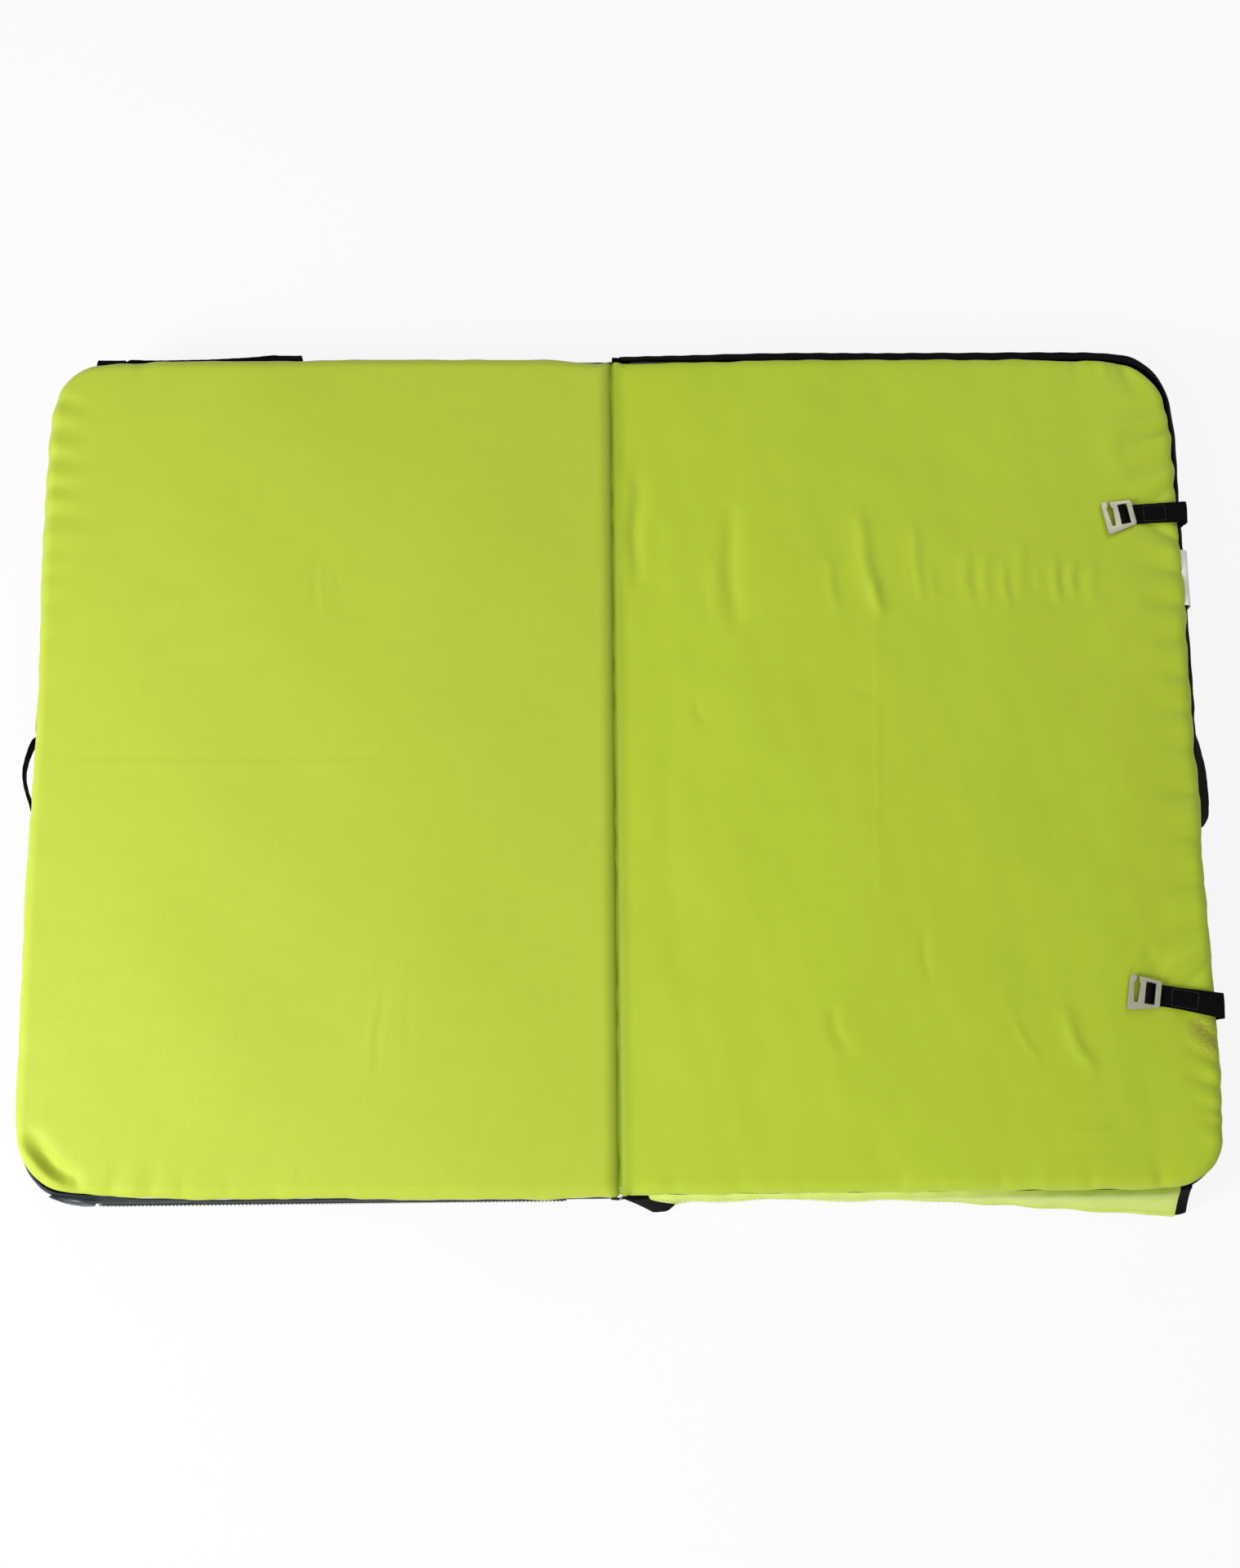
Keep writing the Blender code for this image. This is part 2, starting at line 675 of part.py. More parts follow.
def make_handle(name, axis_middle, along, outward, length, reach):
    """A webbing grip that bows out between two stubs on its axis, and the two sewn sleeves."""
    along, outward = Vector(along), Vector(outward)
    free = length - 2 * STUB_LENGTH
    path, across, upright = [axis_middle - along * (length / 2)], [STUB_RADIUS], [STUB_RADIUS]
    for step in range(HANDLE_STEPS + 1):
        share = 2 * step / HANDLE_STEPS - 1
        bow = 1 - share**4
        flat = min(1, 2 * bow)
        path.append(axis_middle + along * (free / 2 * share) + outward * (reach * bow))
        across.append(STUB_RADIUS + (HANDLE_SHEET / 2 - STUB_RADIUS) * flat)
        upright.append(STUB_RADIUS + (HANDLE_HEIGHT / 2 - STUB_RADIUS) * flat)
    path.append(axis_middle + along * (length / 2))
    across.append(STUB_RADIUS)
    upright.append(STUB_RADIUS)
    finish = (WEBBING_BLACK, 0.6)
    grip = sweep(name, path, across, upright, HANDLE_SIDES, finish, squareness=1.0)
    sleeves = []
    radius = sleeve_radius()
    half_turn = math.degrees(math.asin(TAB_SHEET / radius)) if TAB_SHEET < radius else 90
    for end, way in (("start", -1), ("end", 1)):
        back = -radius
        front = back + TAB_SHEET
        open_angle = math.degrees(math.acos(-front / radius))
        bulb = arc((0, 0), radius, open_angle - 180, 180 - open_angle, EYE_STEPS)
        outline = [
            (back, -TAB_HEIGHT / 2),
            (front, -TAB_HEIGHT / 2),
            *bulb,
            (front, TAB_HEIGHT / 2),
            (back, TAB_HEIGHT / 2),
        ]
        bore = arc((0, 0), STUB_RADIUS + SLEEVE_CLEARANCE, 0, 360 - 360 / EYE_STEPS, EYE_STEPS - 1)
        middle = axis_middle + along * (way * (length / 2 - SLEEVE_LENGTH / 2 + OVERRUN / 2))
        frame = Matrix.Identity(4)
        frame.col[0] = (*outward, 0)
        frame.col[1] = (0, 0, 1, 0)
        frame.col[2] = (*outward.cross(Vector((0, 0, 1))), 0)
        place = Matrix.Translation(middle) @ frame
        sleeve = flat_outline(f"{name}_sleeve_{end}", [outline, bore], SLEEVE_LENGTH, finish, place)
        sleeves.append(sleeve)
    return grip, sleeves


def handle_axis(half, side):
    """Distance of a handle's axis past the landing cover's rim."""
    return WALL_SWELL[half][side] + WALL_BELLY[side] + FIT + sleeve_radius()


def side_handle_axis(half, shift):
    out = OUTER_EDGE[half] + handle_axis(half, "outer")
    return Vector((WAY[half] * out, (NEAR_EDGE + FAR_EDGE) / 2 - shift, HANDLE_LEVEL))


def far_handle_axis():
    place = FAR_HANDLE_INSET - OUTER_EDGE["left"]
    return Vector((place, FAR_EDGE + handle_axis("left", "far"), FAR_HANDLE_LEVEL))


def side_handle(half, shift, length):
    axis_middle = side_handle_axis(half, shift)
    out = abs(axis_middle.x)
    reach = PAD_WIDTH / 2 + HANDLE_REACH - HANDLE_SHEET / 2 - out
    name = half + "_handle"
    return make_handle(name, axis_middle, (0, 1, 0), (WAY[half], 0, 0), length, reach)


def far_handle():
    reach = FAR_HANDLE_REACH - HANDLE_SHEET / 2 - handle_axis("left", "far")
    return make_handle("far_handle", far_handle_axis(), (1, 0, 0), (0, 1, 0), FAR_HANDLE_LENGTH, reach)


def outer_wall_face():
    """X of the outside of the right half's outer wall at its belly, with the fit gap."""
    return OUTER_EDGE["right"] + WALL_SWELL["right"]["outer"] + WALL_BELLY["outer"] + FIT


def strap_pivot(place):
    level = PAD_THICKNESS + ROOT_RISE + STRAP_SHEET / 2
    return Vector((OUTER_EDGE["right"] + ROOT_OUT, STRAP_PLACES[place], level))


def strip_frame(place, along, tilt):
    """A frame on the strap: X to the hook's tip, Y up out of the landing face, Z across to the far side."""
    turn = Matrix.Rotation(math.radians(STRAP_TURNS[place]), 4, "Z")
    lie = Matrix(((-1, 0, 0, 0), (0, 0, 1, 0), (0, 1, 0, 0), (0, 0, 0, 1)))
    strap_tilt = Matrix.Rotation(math.radians(STRAP_TILT), 4, "Y")
    start = strap_pivot(place) + (turn @ strap_tilt @ lie) @ Vector((along, 0, 0))
    return Matrix.Translation(start) @ turn @ Matrix.Rotation(math.radians(tilt), 4, "Y") @ lie


def strap_frame(place):
    return strip_frame(place, 0, STRAP_TILT)


def crease_frame(place):
    """The hook's frame, at the crease of the webbing that the hook swings about."""
    return strip_frame(place, STRAP_LENGTHS[place], HOOK_TILT)


def round_hole(middle, radius):
    return arc(middle, radius, 0, 360 - 360 / EYE_STEPS, EYE_STEPS - 1)


def make_strap(place):
    """The webbing strap, round at its root and at the crease beside the hook."""
    half = STRAP_SHEET / 2
    root = arc((0, 0), half, 90, 270, EYE_STEPS // 2)
    crease = arc((STRAP_LENGTHS[place], 0), half, -90, 90, EYE_STEPS // 2)
    finish = (WEBBING_BLACK, 0.65)
    name = f"closure_strap_{place}"
    return flat_outline(name, [[*root, *crease]], STRAP_WIDTH, finish, strap_frame(place))


def make_strap_patch(place):
    """The sewn webbing that brings the strap up the wall and in to its root."""
    inside = outer_wall_face()
    top = PAD_THICKNESS - PATCH_TOP_GAP
    root = OUTER_EDGE["right"] + ROOT_OUT
    outline = [
        (inside, PATCH_FOOT),
        (inside + PATCH_SHEET, PATCH_FOOT),
        (inside + PATCH_SHEET, PATCH_BEND),
        (root + PATCH_SHEET / 2, top),
        (root - PATCH_SHEET / 2, top),
        (inside, PATCH_BEND - PATCH_SHEET / 2),
    ]
    place_across = upright_across(0, STRAP_PLACES[place], 0)
    finish = (WEBBING_BLACK, 0.65)
    return flat_outline(f"strap_patch_{place}", [outline], PATCH_WIDTH, finish, place_across)


def eye_middle():
    """Middle of the bar in the hook's frame, beside the hook's middle and level with the strap's foot."""
    outer = BAR_RADIUS + BAR_CLEARANCE + EYE_WALL
    window_end = hook_start() + HOOK_STRIP + HOOK_WINDOW
    return window_end - BAR_CLEARANCE - outer, outer - STRAP_SHEET / 2


def hook_start():
    return STRAP_SHEET / 2 + 2 * CREASE_GAP


def make_strap_end(place):
    """The last of the webbing, which loops round the hook's bar."""
    half = STRAP_SHEET / 2
    along, up = eye_middle()
    inner = BAR_RADIUS + BAR_CLEARANCE
    outer = inner + EYE_WALL
    top = math.degrees(math.asin((half - up) / outer))
    eye = arc((along, up), outer, -90, 180 - top, EYE_STEPS)
    start = half + CREASE_GAP
    outline = [*eye, (start, half), (start, -half)]
    finish = (WEBBING_BLACK, 0.65)
    name = f"strap_end_loop_{place}"
    hole = round_hole((along, up), inner)
    return flat_outline(name, [outline, hole], STRAP_WIDTH, finish, crease_frame(place))


def solid_outline(name, outline, low, high, finish, collection=PARTS):
    """A flat outline given depth as a mesh, from one level to another along Z."""
    shape = bmesh.new()
    face = shape.faces.new([shape.verts.new((x, y, low)) for x, y in outline])
    raised = bmesh.ops.extrude_face_region(shape, geom=[face])["geom"]
    corners = [part for part in raised if isinstance(part, bmesh.types.BMVert)]
    bmesh.ops.translate(shape, verts=corners, vec=(0, 0, high - low))
    bmesh.ops.recalc_face_normals(shape, faces=shape.faces)
    return mesh_object(name, shape, finish, collection)


def hook_outline():
    """The hook's plate with X to its tip, and its mouth on the side of -Y."""
    start = hook_start()
    tip = start + HOOK_LENGTH
    slot = start + HOOK_STRIP + HOOK_WINDOW + HOOK_MIDDLE
    mouth = slot + HOOK_SLOT / 2 - HOOK_MOUTH / 2
    half = HOOK_END_WIDTH / 2
    taper = HOOK_TIP_WIDTH - HOOK_END_WIDTH
    cut = HOOK_CORNER

    def mouth_side(along):
        return half + taper * HOOK_FAR_TAPER_SHARE * (along - start) / HOOK_LENGTH

    def other_side(along):
        return -half - taper * (1 - HOOK_FAR_TAPER_SHARE) * (along - start) / HOOK_LENGTH

    neck = mouth_side(mouth) - HOOK_NECK
    foot = other_side(mouth) + HOOK_FOOT
    foot_start = slot + (HOOK_SLOT - HOOK_SLOT_FOOT) / 2
    foot_end = foot_start + HOOK_SLOT_FOOT
    outline = [
        (start + cut, half),
        (start + cut / 4, half - cut / 4),
        (start, half - cut),
        (start, -half + cut),
        (start + cut / 4, -half + cut / 4),
        (start + cut, -half),
        (tip - cut, other_side(tip)),
        (tip - cut / 4, other_side(tip) + cut / 4),
        (tip, other_side(tip) + cut),
        (tip, mouth_side(tip) - cut),
        (tip - cut / 4, mouth_side(tip) - cut / 4),
        (tip - cut, mouth_side(tip)),
        (mouth + HOOK_MOUTH, mouth_side(mouth + HOOK_MOUTH)),
        (mouth + HOOK_MOUTH, neck),
        (slot + HOOK_SLOT, neck - HOOK_MOUTH),
        (foot_end, foot + HOOK_SLOT_FOOT / 4),
        (foot_end - HOOK_SLOT_FOOT / 4, foot),
        (foot_start + HOOK_SLOT_FOOT / 4, foot),
        (foot_start, foot + HOOK_SLOT_FOOT / 4),
        (slot, neck - HOOK_MOUTH),
        (mouth, neck),
        (mouth, mouth_side(mouth)),
    ]
    return [(x, -y) for x, y in reversed(outline)]


def make_hook(place):
    """A flat hook: a strip over the webbing, a window with its bar, and a tapered slot with a mouth."""
    low = STRAP_SHEET / 2 + STRIP_GAP
    finish = (METAL_GREY, 0.38, 0.85)
    plate = solid_outline(f"closure_hook_{place}", hook_outline(), low, low + HOOK_PLATE, finish)
    window_start = hook_start() + HOOK_STRIP
    window_half = HOOK_WINDOW_WIDTH / 2
    window = cutter_box(
        f"hook_window_{place}",
        (window_start, -window_half, low - OVERRUN),
        (window_start + HOOK_WINDOW, window_half, low + HOOK_PLATE + OVERRUN),
    )
    along, up = eye_middle()
    shape = bmesh.new()
    turned = Matrix.Translation((along, 0, up)) @ Matrix.Rotation(math.radians(90), 4, "X")
    bmesh.ops.create_cone(
        shape, cap_ends=True, segments=EYE_STEPS, radius1=BAR_RADIUS, radius2=BAR_RADIUS,
        depth=HOOK_WINDOW_WIDTH + BAR_RADIUS, matrix=turned,
    )
    bar = hide(mesh_object(f"hook_bar_{place}", shape, None, CUTTERS))
    # The crease's frame has Y up and Z to the far side, and the plate is drawn with Z up.
    place_flat = crease_frame(place) @ Matrix.Rotation(math.radians(-90), 4, "X")
    for thing in (plate, window, bar):
        thing.matrix_world = place_flat @ thing.matrix_world
    combine(plate, window, "DIFFERENCE")
    combine(plate, bar, "UNION")
    return plate, window, bar


def make_hook_loop(place):
    """A webbing loop that stands off the left half's outer wall."""
    wall = OUTER_EDGE["left"] + WALL_SWELL["left"]["outer"] + WALL_BELLY["outer"] + FIT
    inner = LOOP_GAP
    outer = LOOP_GAP + LOOP_SHEET
    low_foot, high_foot = LOOP_LOW + LOOP_FOOT, LOOP_HIGH - LOOP_FOOT
    outline = [
        (0, LOOP_LOW),
        (LOOP_SHEET, LOOP_LOW),
        (LOOP_SHEET, low_foot - LOOP_SHEET),
        (outer, low_foot + LOOP_RISE - LOOP_SHEET),
        (outer, high_foot - LOOP_RISE + LOOP_SHEET),
        (LOOP_SHEET, high_foot + LOOP_SHEET),
        (LOOP_SHEET, LOOP_HIGH),
        (0, LOOP_HIGH),
        (0, high_foot),
        (inner, high_foot - LOOP_RISE),
        (inner, low_foot + LOOP_RISE),
        (0, low_foot),
    ]
    outline = [(-out, up) for out, up in outline]
    spot = upright_across(-wall, STRAP_PLACES[place], 0)
    return flat_outline(f"hook_loop_{place}", [outline], LOOP_WIDTH, (WEBBING_BLACK, 0.65), spot)


def flare_share(share):
    """How far the flap's hem stands out at a share of its width, from 0 to 1."""
    for (start, low), (end, high) in zip(FLARE_SHARES, FLARE_SHARES[1:]):
        if share <= end:
            part = (share - start) / (end - start)
            return low + (high - low) * (1 - math.cos(math.pi * part)) / 2
    return FLARE_SHARES[-1][1]


def flap_pivot():
    return Vector((HALF_MIDDLE, NEAR_EDGE - FLAP_PIVOT_OUT, RIGHT_SEAM_NEAR))


def flap_point(share, down, offset=0.0):
    """A place on the flap: share of its width, share of its drop, and offset in towards the wall."""
    left = FLAP_START + FLAP_START_SLANT * down
    right = FLAP_END - FLAP_END_SLANT * down
    pivot = flap_pivot()
    stand_off = FLAP_STAND_OFF * (1 - (1 - down) ** 2)
    out = stand_off + FLAP_FLARE * flare_share(share) * down**FLAP_CURVE
    return Vector((left + (right - left) * share, pivot.y - out + offset, pivot.z - FLAP_DROP * down))


def make_flap_piece(name, shares, downs, sheet, offset, steps, finish):
    """A strip of the flap between two shares of its width and of its drop."""
    shape = bmesh.new()
    bmesh.ops.create_grid(shape, x_segments=steps, y_segments=FLAP_DOWN_STEPS, size=1)
    for vertex in shape.verts:
        share = shares[0] + (shares[1] - shares[0]) * (vertex.co.x + 1) / 2
        down = downs[0] + (downs[1] - downs[0]) * (1 - vertex.co.y) / 2
        vertex.co = flap_point(share, down, offset)
    made = mesh_object(name, shape, finish)
    thicken(made, sheet, offset=0.0)
    return made


def make_flap():
    """The lime flap, its black end bindings and the hook tape on its inner face."""
    gap = FIT / (FLAP_END - FLAP_START)
    start, end = BINDING_START_SHARE, BINDING_END_SHARE
    cloth = make_flap_piece(
        "closing_flap", (start, end), (0, 1), FLAP_SHEET, 0, FLAP_STEPS, (LIME, 0.75)
    )
    black = (BLACK_CLOTH, 0.6)
    first = make_flap_piece(
        "flap_binding_fold_end", (0, start - gap), (0, 1), FLAP_SHEET, 0, 2, black
    )
    last = make_flap_piece(
        "flap_binding_outer_end", (end + gap, 1), (0, 1), FLAP_SHEET, 0, 2, black
    )
    inward = (FLAP_SHEET + FLAP_TAPE_SHEET) / 2 + 2 * FIT
    tape = make_flap_piece(
        "flap_hook_tape", (2 * start, end - start), FLAP_TAPE_SHARES, FLAP_TAPE_SHEET, inward,
        FLAP_STEPS, (WEBBING_BLACK, 0.8),
    )
    return [cloth, first, last, tape]


def make_catch_tape():
    """The fluffy tape on the left half's near wall that the flap's tape grips."""
    wall = NEAR_EDGE - WALL_SWELL["left"]["near"] - WALL_BELLY["near"] - FIT
    low = (-CATCH_START - CATCH_LENGTH, wall - CATCH_SHEET, CATCH_LEVEL - CATCH_HEIGHT / 2)
    high = (-CATCH_START, wall, CATCH_LEVEL + CATCH_HEIGHT / 2)
    return box("flap_catch_tape", low, high, (SLATE_CLOTH, 0.9))


def make_tag():
    """A blank fabric tag hanging on the right half's outer wall."""
    inside = outer_wall_face()
    top = PAD_THICKNESS - TAG_TOP_DROP
    place = FAR_EDGE - TAG_INSET
    low = (inside, place - TAG_WIDTH / 2, top - TAG_HEIGHT)
    high = (inside + TAG_SHEET, place + TAG_WIDTH / 2, top)
    return box("wall_tag", low, high, (TAG_PALE, 0.7))


def make_harness():
    """Two padded shoulder straps with their yoke, buckles, webbing tails and anchors."""
    made = []
    ceiling = TRAY_CEILING - FIT
    black = (WEBBING_BLACK, 0.65)
    yoke_near = SHOULDER_TOP + FIT
    low = (HALF_MIDDLE - YOKE_WIDTH / 2, yoke_near, ceiling - YOKE_SHEET)
    high = (HALF_MIDDLE + YOKE_WIDTH / 2, yoke_near + YOKE_LENGTH, ceiling)
    made.append(box("harness_yoke", low, high, black))
    for side, way in (("fold_side", -1), ("outer_side", 1)):
        path = []
        for step in range(SHOULDER_STEPS + 1):
            share = step / SHOULDER_STEPS
            spread = SHOULDER_TOP_SPREAD + (SHOULDER_SPREAD - SHOULDER_TOP_SPREAD) * ease(step)
            along = SHOULDER_TOP + (SHOULDER_BOTTOM - SHOULDER_TOP) * share
            path.append(Vector((HALF_MIDDLE + way * spread, along, ceiling - SHOULDER_SHEET / 2)))
        across = [SHOULDER_WIDTH / 2] * (SHOULDER_STEPS - 1)
        across += [SHOULDER_WIDTH / 2 * share for share in SHOULDER_TIP_SHARES]
        upright = [SHOULDER_SHEET / 2] * len(path)
        name = "shoulder_strap_" + side
        made.append(sweep(name, path, across, upright, SHOULDER_SIDES, (BLACK_CLOTH, 0.7)))
        buckle_x = path[-1].x
        buckle_far = SHOULDER_BOTTOM - FIT
        made.append(make_buckle("ladder_buckle_" + side, buckle_x, buckle_far, ceiling))
        tail_far = buckle_far - BUCKLE_LENGTH - FIT
        tail_path = []
        tail_length = tail_far - ANCHOR_FAR - FIT
        for step in range(SHOULDER_STEPS + 1):
            x = buckle_x + way * TAIL_SPREAD * ease(step)
            y = tail_far - tail_length * step / SHOULDER_STEPS
            tail_path.append(Vector((x, y, ceiling - TAIL_SHEET / 2)))
        across = [TAIL_WIDTH / 2] * len(tail_path)
        upright = [TAIL_SHEET / 2] * len(tail_path)
        name = "webbing_tail_" + side
        made.append(sweep(name, tail_path, across, upright, TAIL_SIDES, black, squareness=0.4))
        anchor_x = tail_path[-1].x
        low = (anchor_x - ANCHOR_SIZE / 2, ANCHOR_FAR - ANCHOR_SIZE, ceiling - ANCHOR_SHEET)
        high = (anchor_x + ANCHOR_SIZE / 2, ANCHOR_FAR, ceiling)
        made.append(box("tail_anchor_" + side, low, high, black))
    return made


def ease(step):
    """A smooth rise from 0 to 1 over the shoulder strap's steps, level over the first and the last."""
    share = min(1, max(0, (step - 1) / (SHOULDER_STEPS - 2)))
    return (1 - math.cos(math.pi * share)) / 2


def make_buckle(name, x, far, ceiling):
    """A two-slot ladder buckle lying flat."""
    half = BUCKLE_WIDTH / 2
    inner = half - BUCKLE_BAR
    slot = (BUCKLE_LENGTH - 3 * BUCKLE_BAR) / 2
    cut = BUCKLE_BAR / 2
    outline = [
        (-half + cut, 0),
        (-half, -cut),
        (-half, cut - BUCKLE_LENGTH),
        (-half + cut, -BUCKLE_LENGTH),
        (half - cut, -BUCKLE_LENGTH),
        (half, cut - BUCKLE_LENGTH),
        (half, -cut),
        (half - cut, 0),
    ]
    slots = []
    for start in (-BUCKLE_BAR, -2 * BUCKLE_BAR - slot):
        corners = [(-inner, start), (-inner, start - slot), (inner, start - slot), (inner, start)]
        slots.append(corners)
    spot = Matrix.Translation((x, far, ceiling - BUCKLE_SHEET / 2))
    return flat_outline(name, [outline, *slots], BUCKLE_SHEET, (BUCKLE_BLACK, 0.4), spot)


def joint_marker(name, place, turn=0.0, parent=None):
    """An empty on a joint's axis, turned about Z in degrees."""
    marker = bpy.data.objects.new(name, None)
    PARTS.objects.link(marker)
    marker.empty_display_size = PAD_THICKNESS
    marker.matrix_world = Matrix.Translation(place) @ Matrix.Rotation(math.radians(turn), 4, "Z")
    if parent:
        hang(marker, parent)
    return marker


def hang(thing, parent):
    """Parents a thing where it is."""
    placed = thing.matrix_world.copy()
    thing.parent = parent
    bpy.context.view_layer.update()
    thing.matrix_parent_inverse = parent.matrix_world.inverted()
    thing.matrix_world = placed


def make_pad():
    left_things = [*make_half("left"), make_fold_tape(), make_catch_tape()]
    right_things = [*make_half("right"), make_fold_sleeve(), make_tag(), *make_harness()]
    body = joint_marker("left_half", (0, 0, 0))
    fold = joint_marker("fold_axis", (0, 0, PAD_THICKNESS), parent=body)

    left_grip, left_sleeves = side_handle("left", LEFT_HANDLE_SHIFT, LEFT_HANDLE_LENGTH)
    right_grip, right_sleeves = side_handle("right", RIGHT_HANDLE_SHIFT, RIGHT_HANDLE_LENGTH)
    far_grip, far_sleeves = far_handle()
    left_things += [*left_sleeves, *far_sleeves]
    right_things += right_sleeves

    left_axis = side_handle_axis("left", LEFT_HANDLE_SHIFT)
    hang(left_grip, joint_marker("left_handle_axis", left_axis, parent=body))
    right_axis = side_handle_axis("right", RIGHT_HANDLE_SHIFT)
    hang(right_grip, joint_marker("right_handle_axis", right_axis, parent=fold))
    hang(far_grip, joint_marker("far_handle_marker", far_handle_axis(), turn=-90, parent=body))

    for place in STRAP_PLACES:
        right_things.append(make_strap_patch(place))
        left_things.append(make_hook_loop(place))
        turn = STRAP_TURNS[place]
        root = joint_marker(f"strap_{place}_axis", strap_pivot(place), turn, fold)
        crease = joint_marker(f"hook_{place}_axis", crease_frame(place).to_translation(), turn, root)
        hang(make_strap(place), root)
        for thing in (make_strap_end(place), *make_hook(place)):
            hang(thing, crease)

    flap_axis = joint_marker("flap_axis", flap_pivot(), turn=90, parent=fold)
    for thing in make_flap():
        hang(thing, flap_axis)
    for thing in left_things:
        hang(thing, body)
    for thing in right_things:
        hang(thing, fold)


make_pad()
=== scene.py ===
import math

import bmesh
import bpy
import numpy as np
from mathutils import Matrix, Vector


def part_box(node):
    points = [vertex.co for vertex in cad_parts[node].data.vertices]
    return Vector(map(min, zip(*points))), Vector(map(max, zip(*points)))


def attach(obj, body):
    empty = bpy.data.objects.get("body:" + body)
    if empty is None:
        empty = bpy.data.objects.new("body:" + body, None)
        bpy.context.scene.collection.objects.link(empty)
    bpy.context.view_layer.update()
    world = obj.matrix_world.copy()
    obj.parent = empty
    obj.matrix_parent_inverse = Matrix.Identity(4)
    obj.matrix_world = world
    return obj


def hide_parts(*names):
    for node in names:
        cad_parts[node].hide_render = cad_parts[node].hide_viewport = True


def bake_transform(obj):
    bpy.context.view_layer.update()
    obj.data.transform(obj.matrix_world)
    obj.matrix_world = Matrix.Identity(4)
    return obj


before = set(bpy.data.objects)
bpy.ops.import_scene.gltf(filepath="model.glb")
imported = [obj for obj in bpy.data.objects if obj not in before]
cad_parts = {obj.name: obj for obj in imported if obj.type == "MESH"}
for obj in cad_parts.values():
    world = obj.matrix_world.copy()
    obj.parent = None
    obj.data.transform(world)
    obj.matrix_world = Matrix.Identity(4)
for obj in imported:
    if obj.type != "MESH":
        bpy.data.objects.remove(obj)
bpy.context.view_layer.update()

# The looks of a folding crash pad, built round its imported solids. Metres, +Z up, the fold along Y.

# Plan and levels, as in the part's source
EDGE = 0.672  # fold line to the outer rim of each landing cover
FAR_EDGE = 0.4959
NEAR_EDGE = -0.4881
MIDDLE_Y = (FAR_EDGE + NEAR_EDGE) / 2
HALF_MIDDLE = 0.33925
RIM_LEVEL = 0.100
FOLD_CLEARANCE = 0.0065
OUTER_CORNER = 0.055
FOLD_CORNER = 0.003
HALF_WIDE = EDGE - FOLD_CLEARANCE  # plan of one half at its seam
HALF_LONG = FAR_EDGE - NEAR_EDGE
SEAM_LENGTH = 2 * (HALF_WIDE + HALF_LONG) + (math.pi - 4) * (OUTER_CORNER + FOLD_CORNER)
SIDES = ("fold", "outer", "near", "far")
WAY = {"left": -1, "right": 1}
RIM_ROUND = {
    "left": {"fold": 0.014, "outer": 0.014, "near": 0.014, "far": 0.014},
    "right": {"fold": 0.006, "outer": 0.014, "near": 0.014, "far": 0.014},
}
SEAM_DROP = {
    "left": {"fold": 0.008, "outer": 0.018, "near": 0.010, "far": 0.012},
    "right": {"fold": 0.006, "outer": 0.008, "near": 0.012, "far": 0.005},
}
WALL_SWELL = {
    "left": {"fold": 0.0025, "outer": 0.003, "near": 0.0036, "far": 0.004},
    "right": {"fold": 0.0025, "outer": 0.007, "near": 0.004, "far": 0.013},
}
# How far the top of each wall stands out of its seam: below nothing where the cover hides it
HIDDEN_LIP = -0.0018
WALL_LIP = {
    "left": {"fold": -0.0020, "outer": HIDDEN_LIP, "near": 0.0010, "far": HIDDEN_LIP},
    "right": {"fold": -0.0020, "outer": 0.0014, "near": -0.0010, "far": 0.0016},
}
COVER_MEETS = 0.0058  # how much nearer to the fold line the covers swell than their seams
# How far the outer corners are drawn in by their seams: the wall, and the cover over it
CORNER_PULL = {
    ("left", "near"): (0.0119, 0.0178), ("left", "far"): (0.0074, 0.0112),
    ("right", "near"): (0.0034, 0.0046), ("right", "far"): (0.0060, 0.0142),
}
CORNER_REACH = 0.088
FAR_SEAM_IN = {"left": 0.0, "right": 0.0022}
# How unevenly the covers' rims run, in mm: places along the rim and how far out they stand there
RIM_SHIFTS = {
    ("left", "outer"): (
        (-0.43, -2.0), (-0.38, -3.2), (-0.3, -2.8), (-0.2, -1.5), (-0.15, 0.0), (-0.05, -2.4),
        (0.03, -3.4), (0.1, -3.2), (0.17, -1.5), (0.22, 1.2), (0.3, 1.2), (0.38, 0.0),
    ),
    ("left", "near"): (
        (-0.66, -2.0), (-0.614, -4.6), (-0.586, -7.2), (-0.558, -6.4), (-0.53, -3.4), (-0.503, -2.4),
        (-0.45, 0.0), (-0.3, 0.0), (-0.24, 2.6), (-0.14, 2.8), (-0.1, 4.2), (-0.02, 2.6),
    ),
    ("left", "far"): (
        (-0.62, 0.0), (-0.59, -1.5), (-0.572, -3.0), (-0.556, -1.4), (-0.54, 0.4), (-0.38, 0.6),
        (-0.34, 2.8), (-0.06, 1.8), (-0.02, -0.6),
    ),
    ("right", "far"): (
        (0.5, 0.0), (0.53, -1.6), (0.565, -3.2), (0.59, -1.6), (0.615, 0.6), (0.63, 0.0),
    ),
    ("right", "outer"): (
        (-0.4, 1.8), (-0.37, 3.4), (-0.31, 3.4), (-0.23, 2.5), (-0.17, 1.6), (-0.12, 0.0),
        (-0.09, 1.5), (-0.062, 2.6), (-0.034, 3.2), (0.0, 0.5), (0.09, 1.2), (0.13, 0.5), (0.16, 2.0),
        (0.187, 4.4), (0.215, 3.6), (0.26, 1.0), (0.4, 0.0),
    ),
}
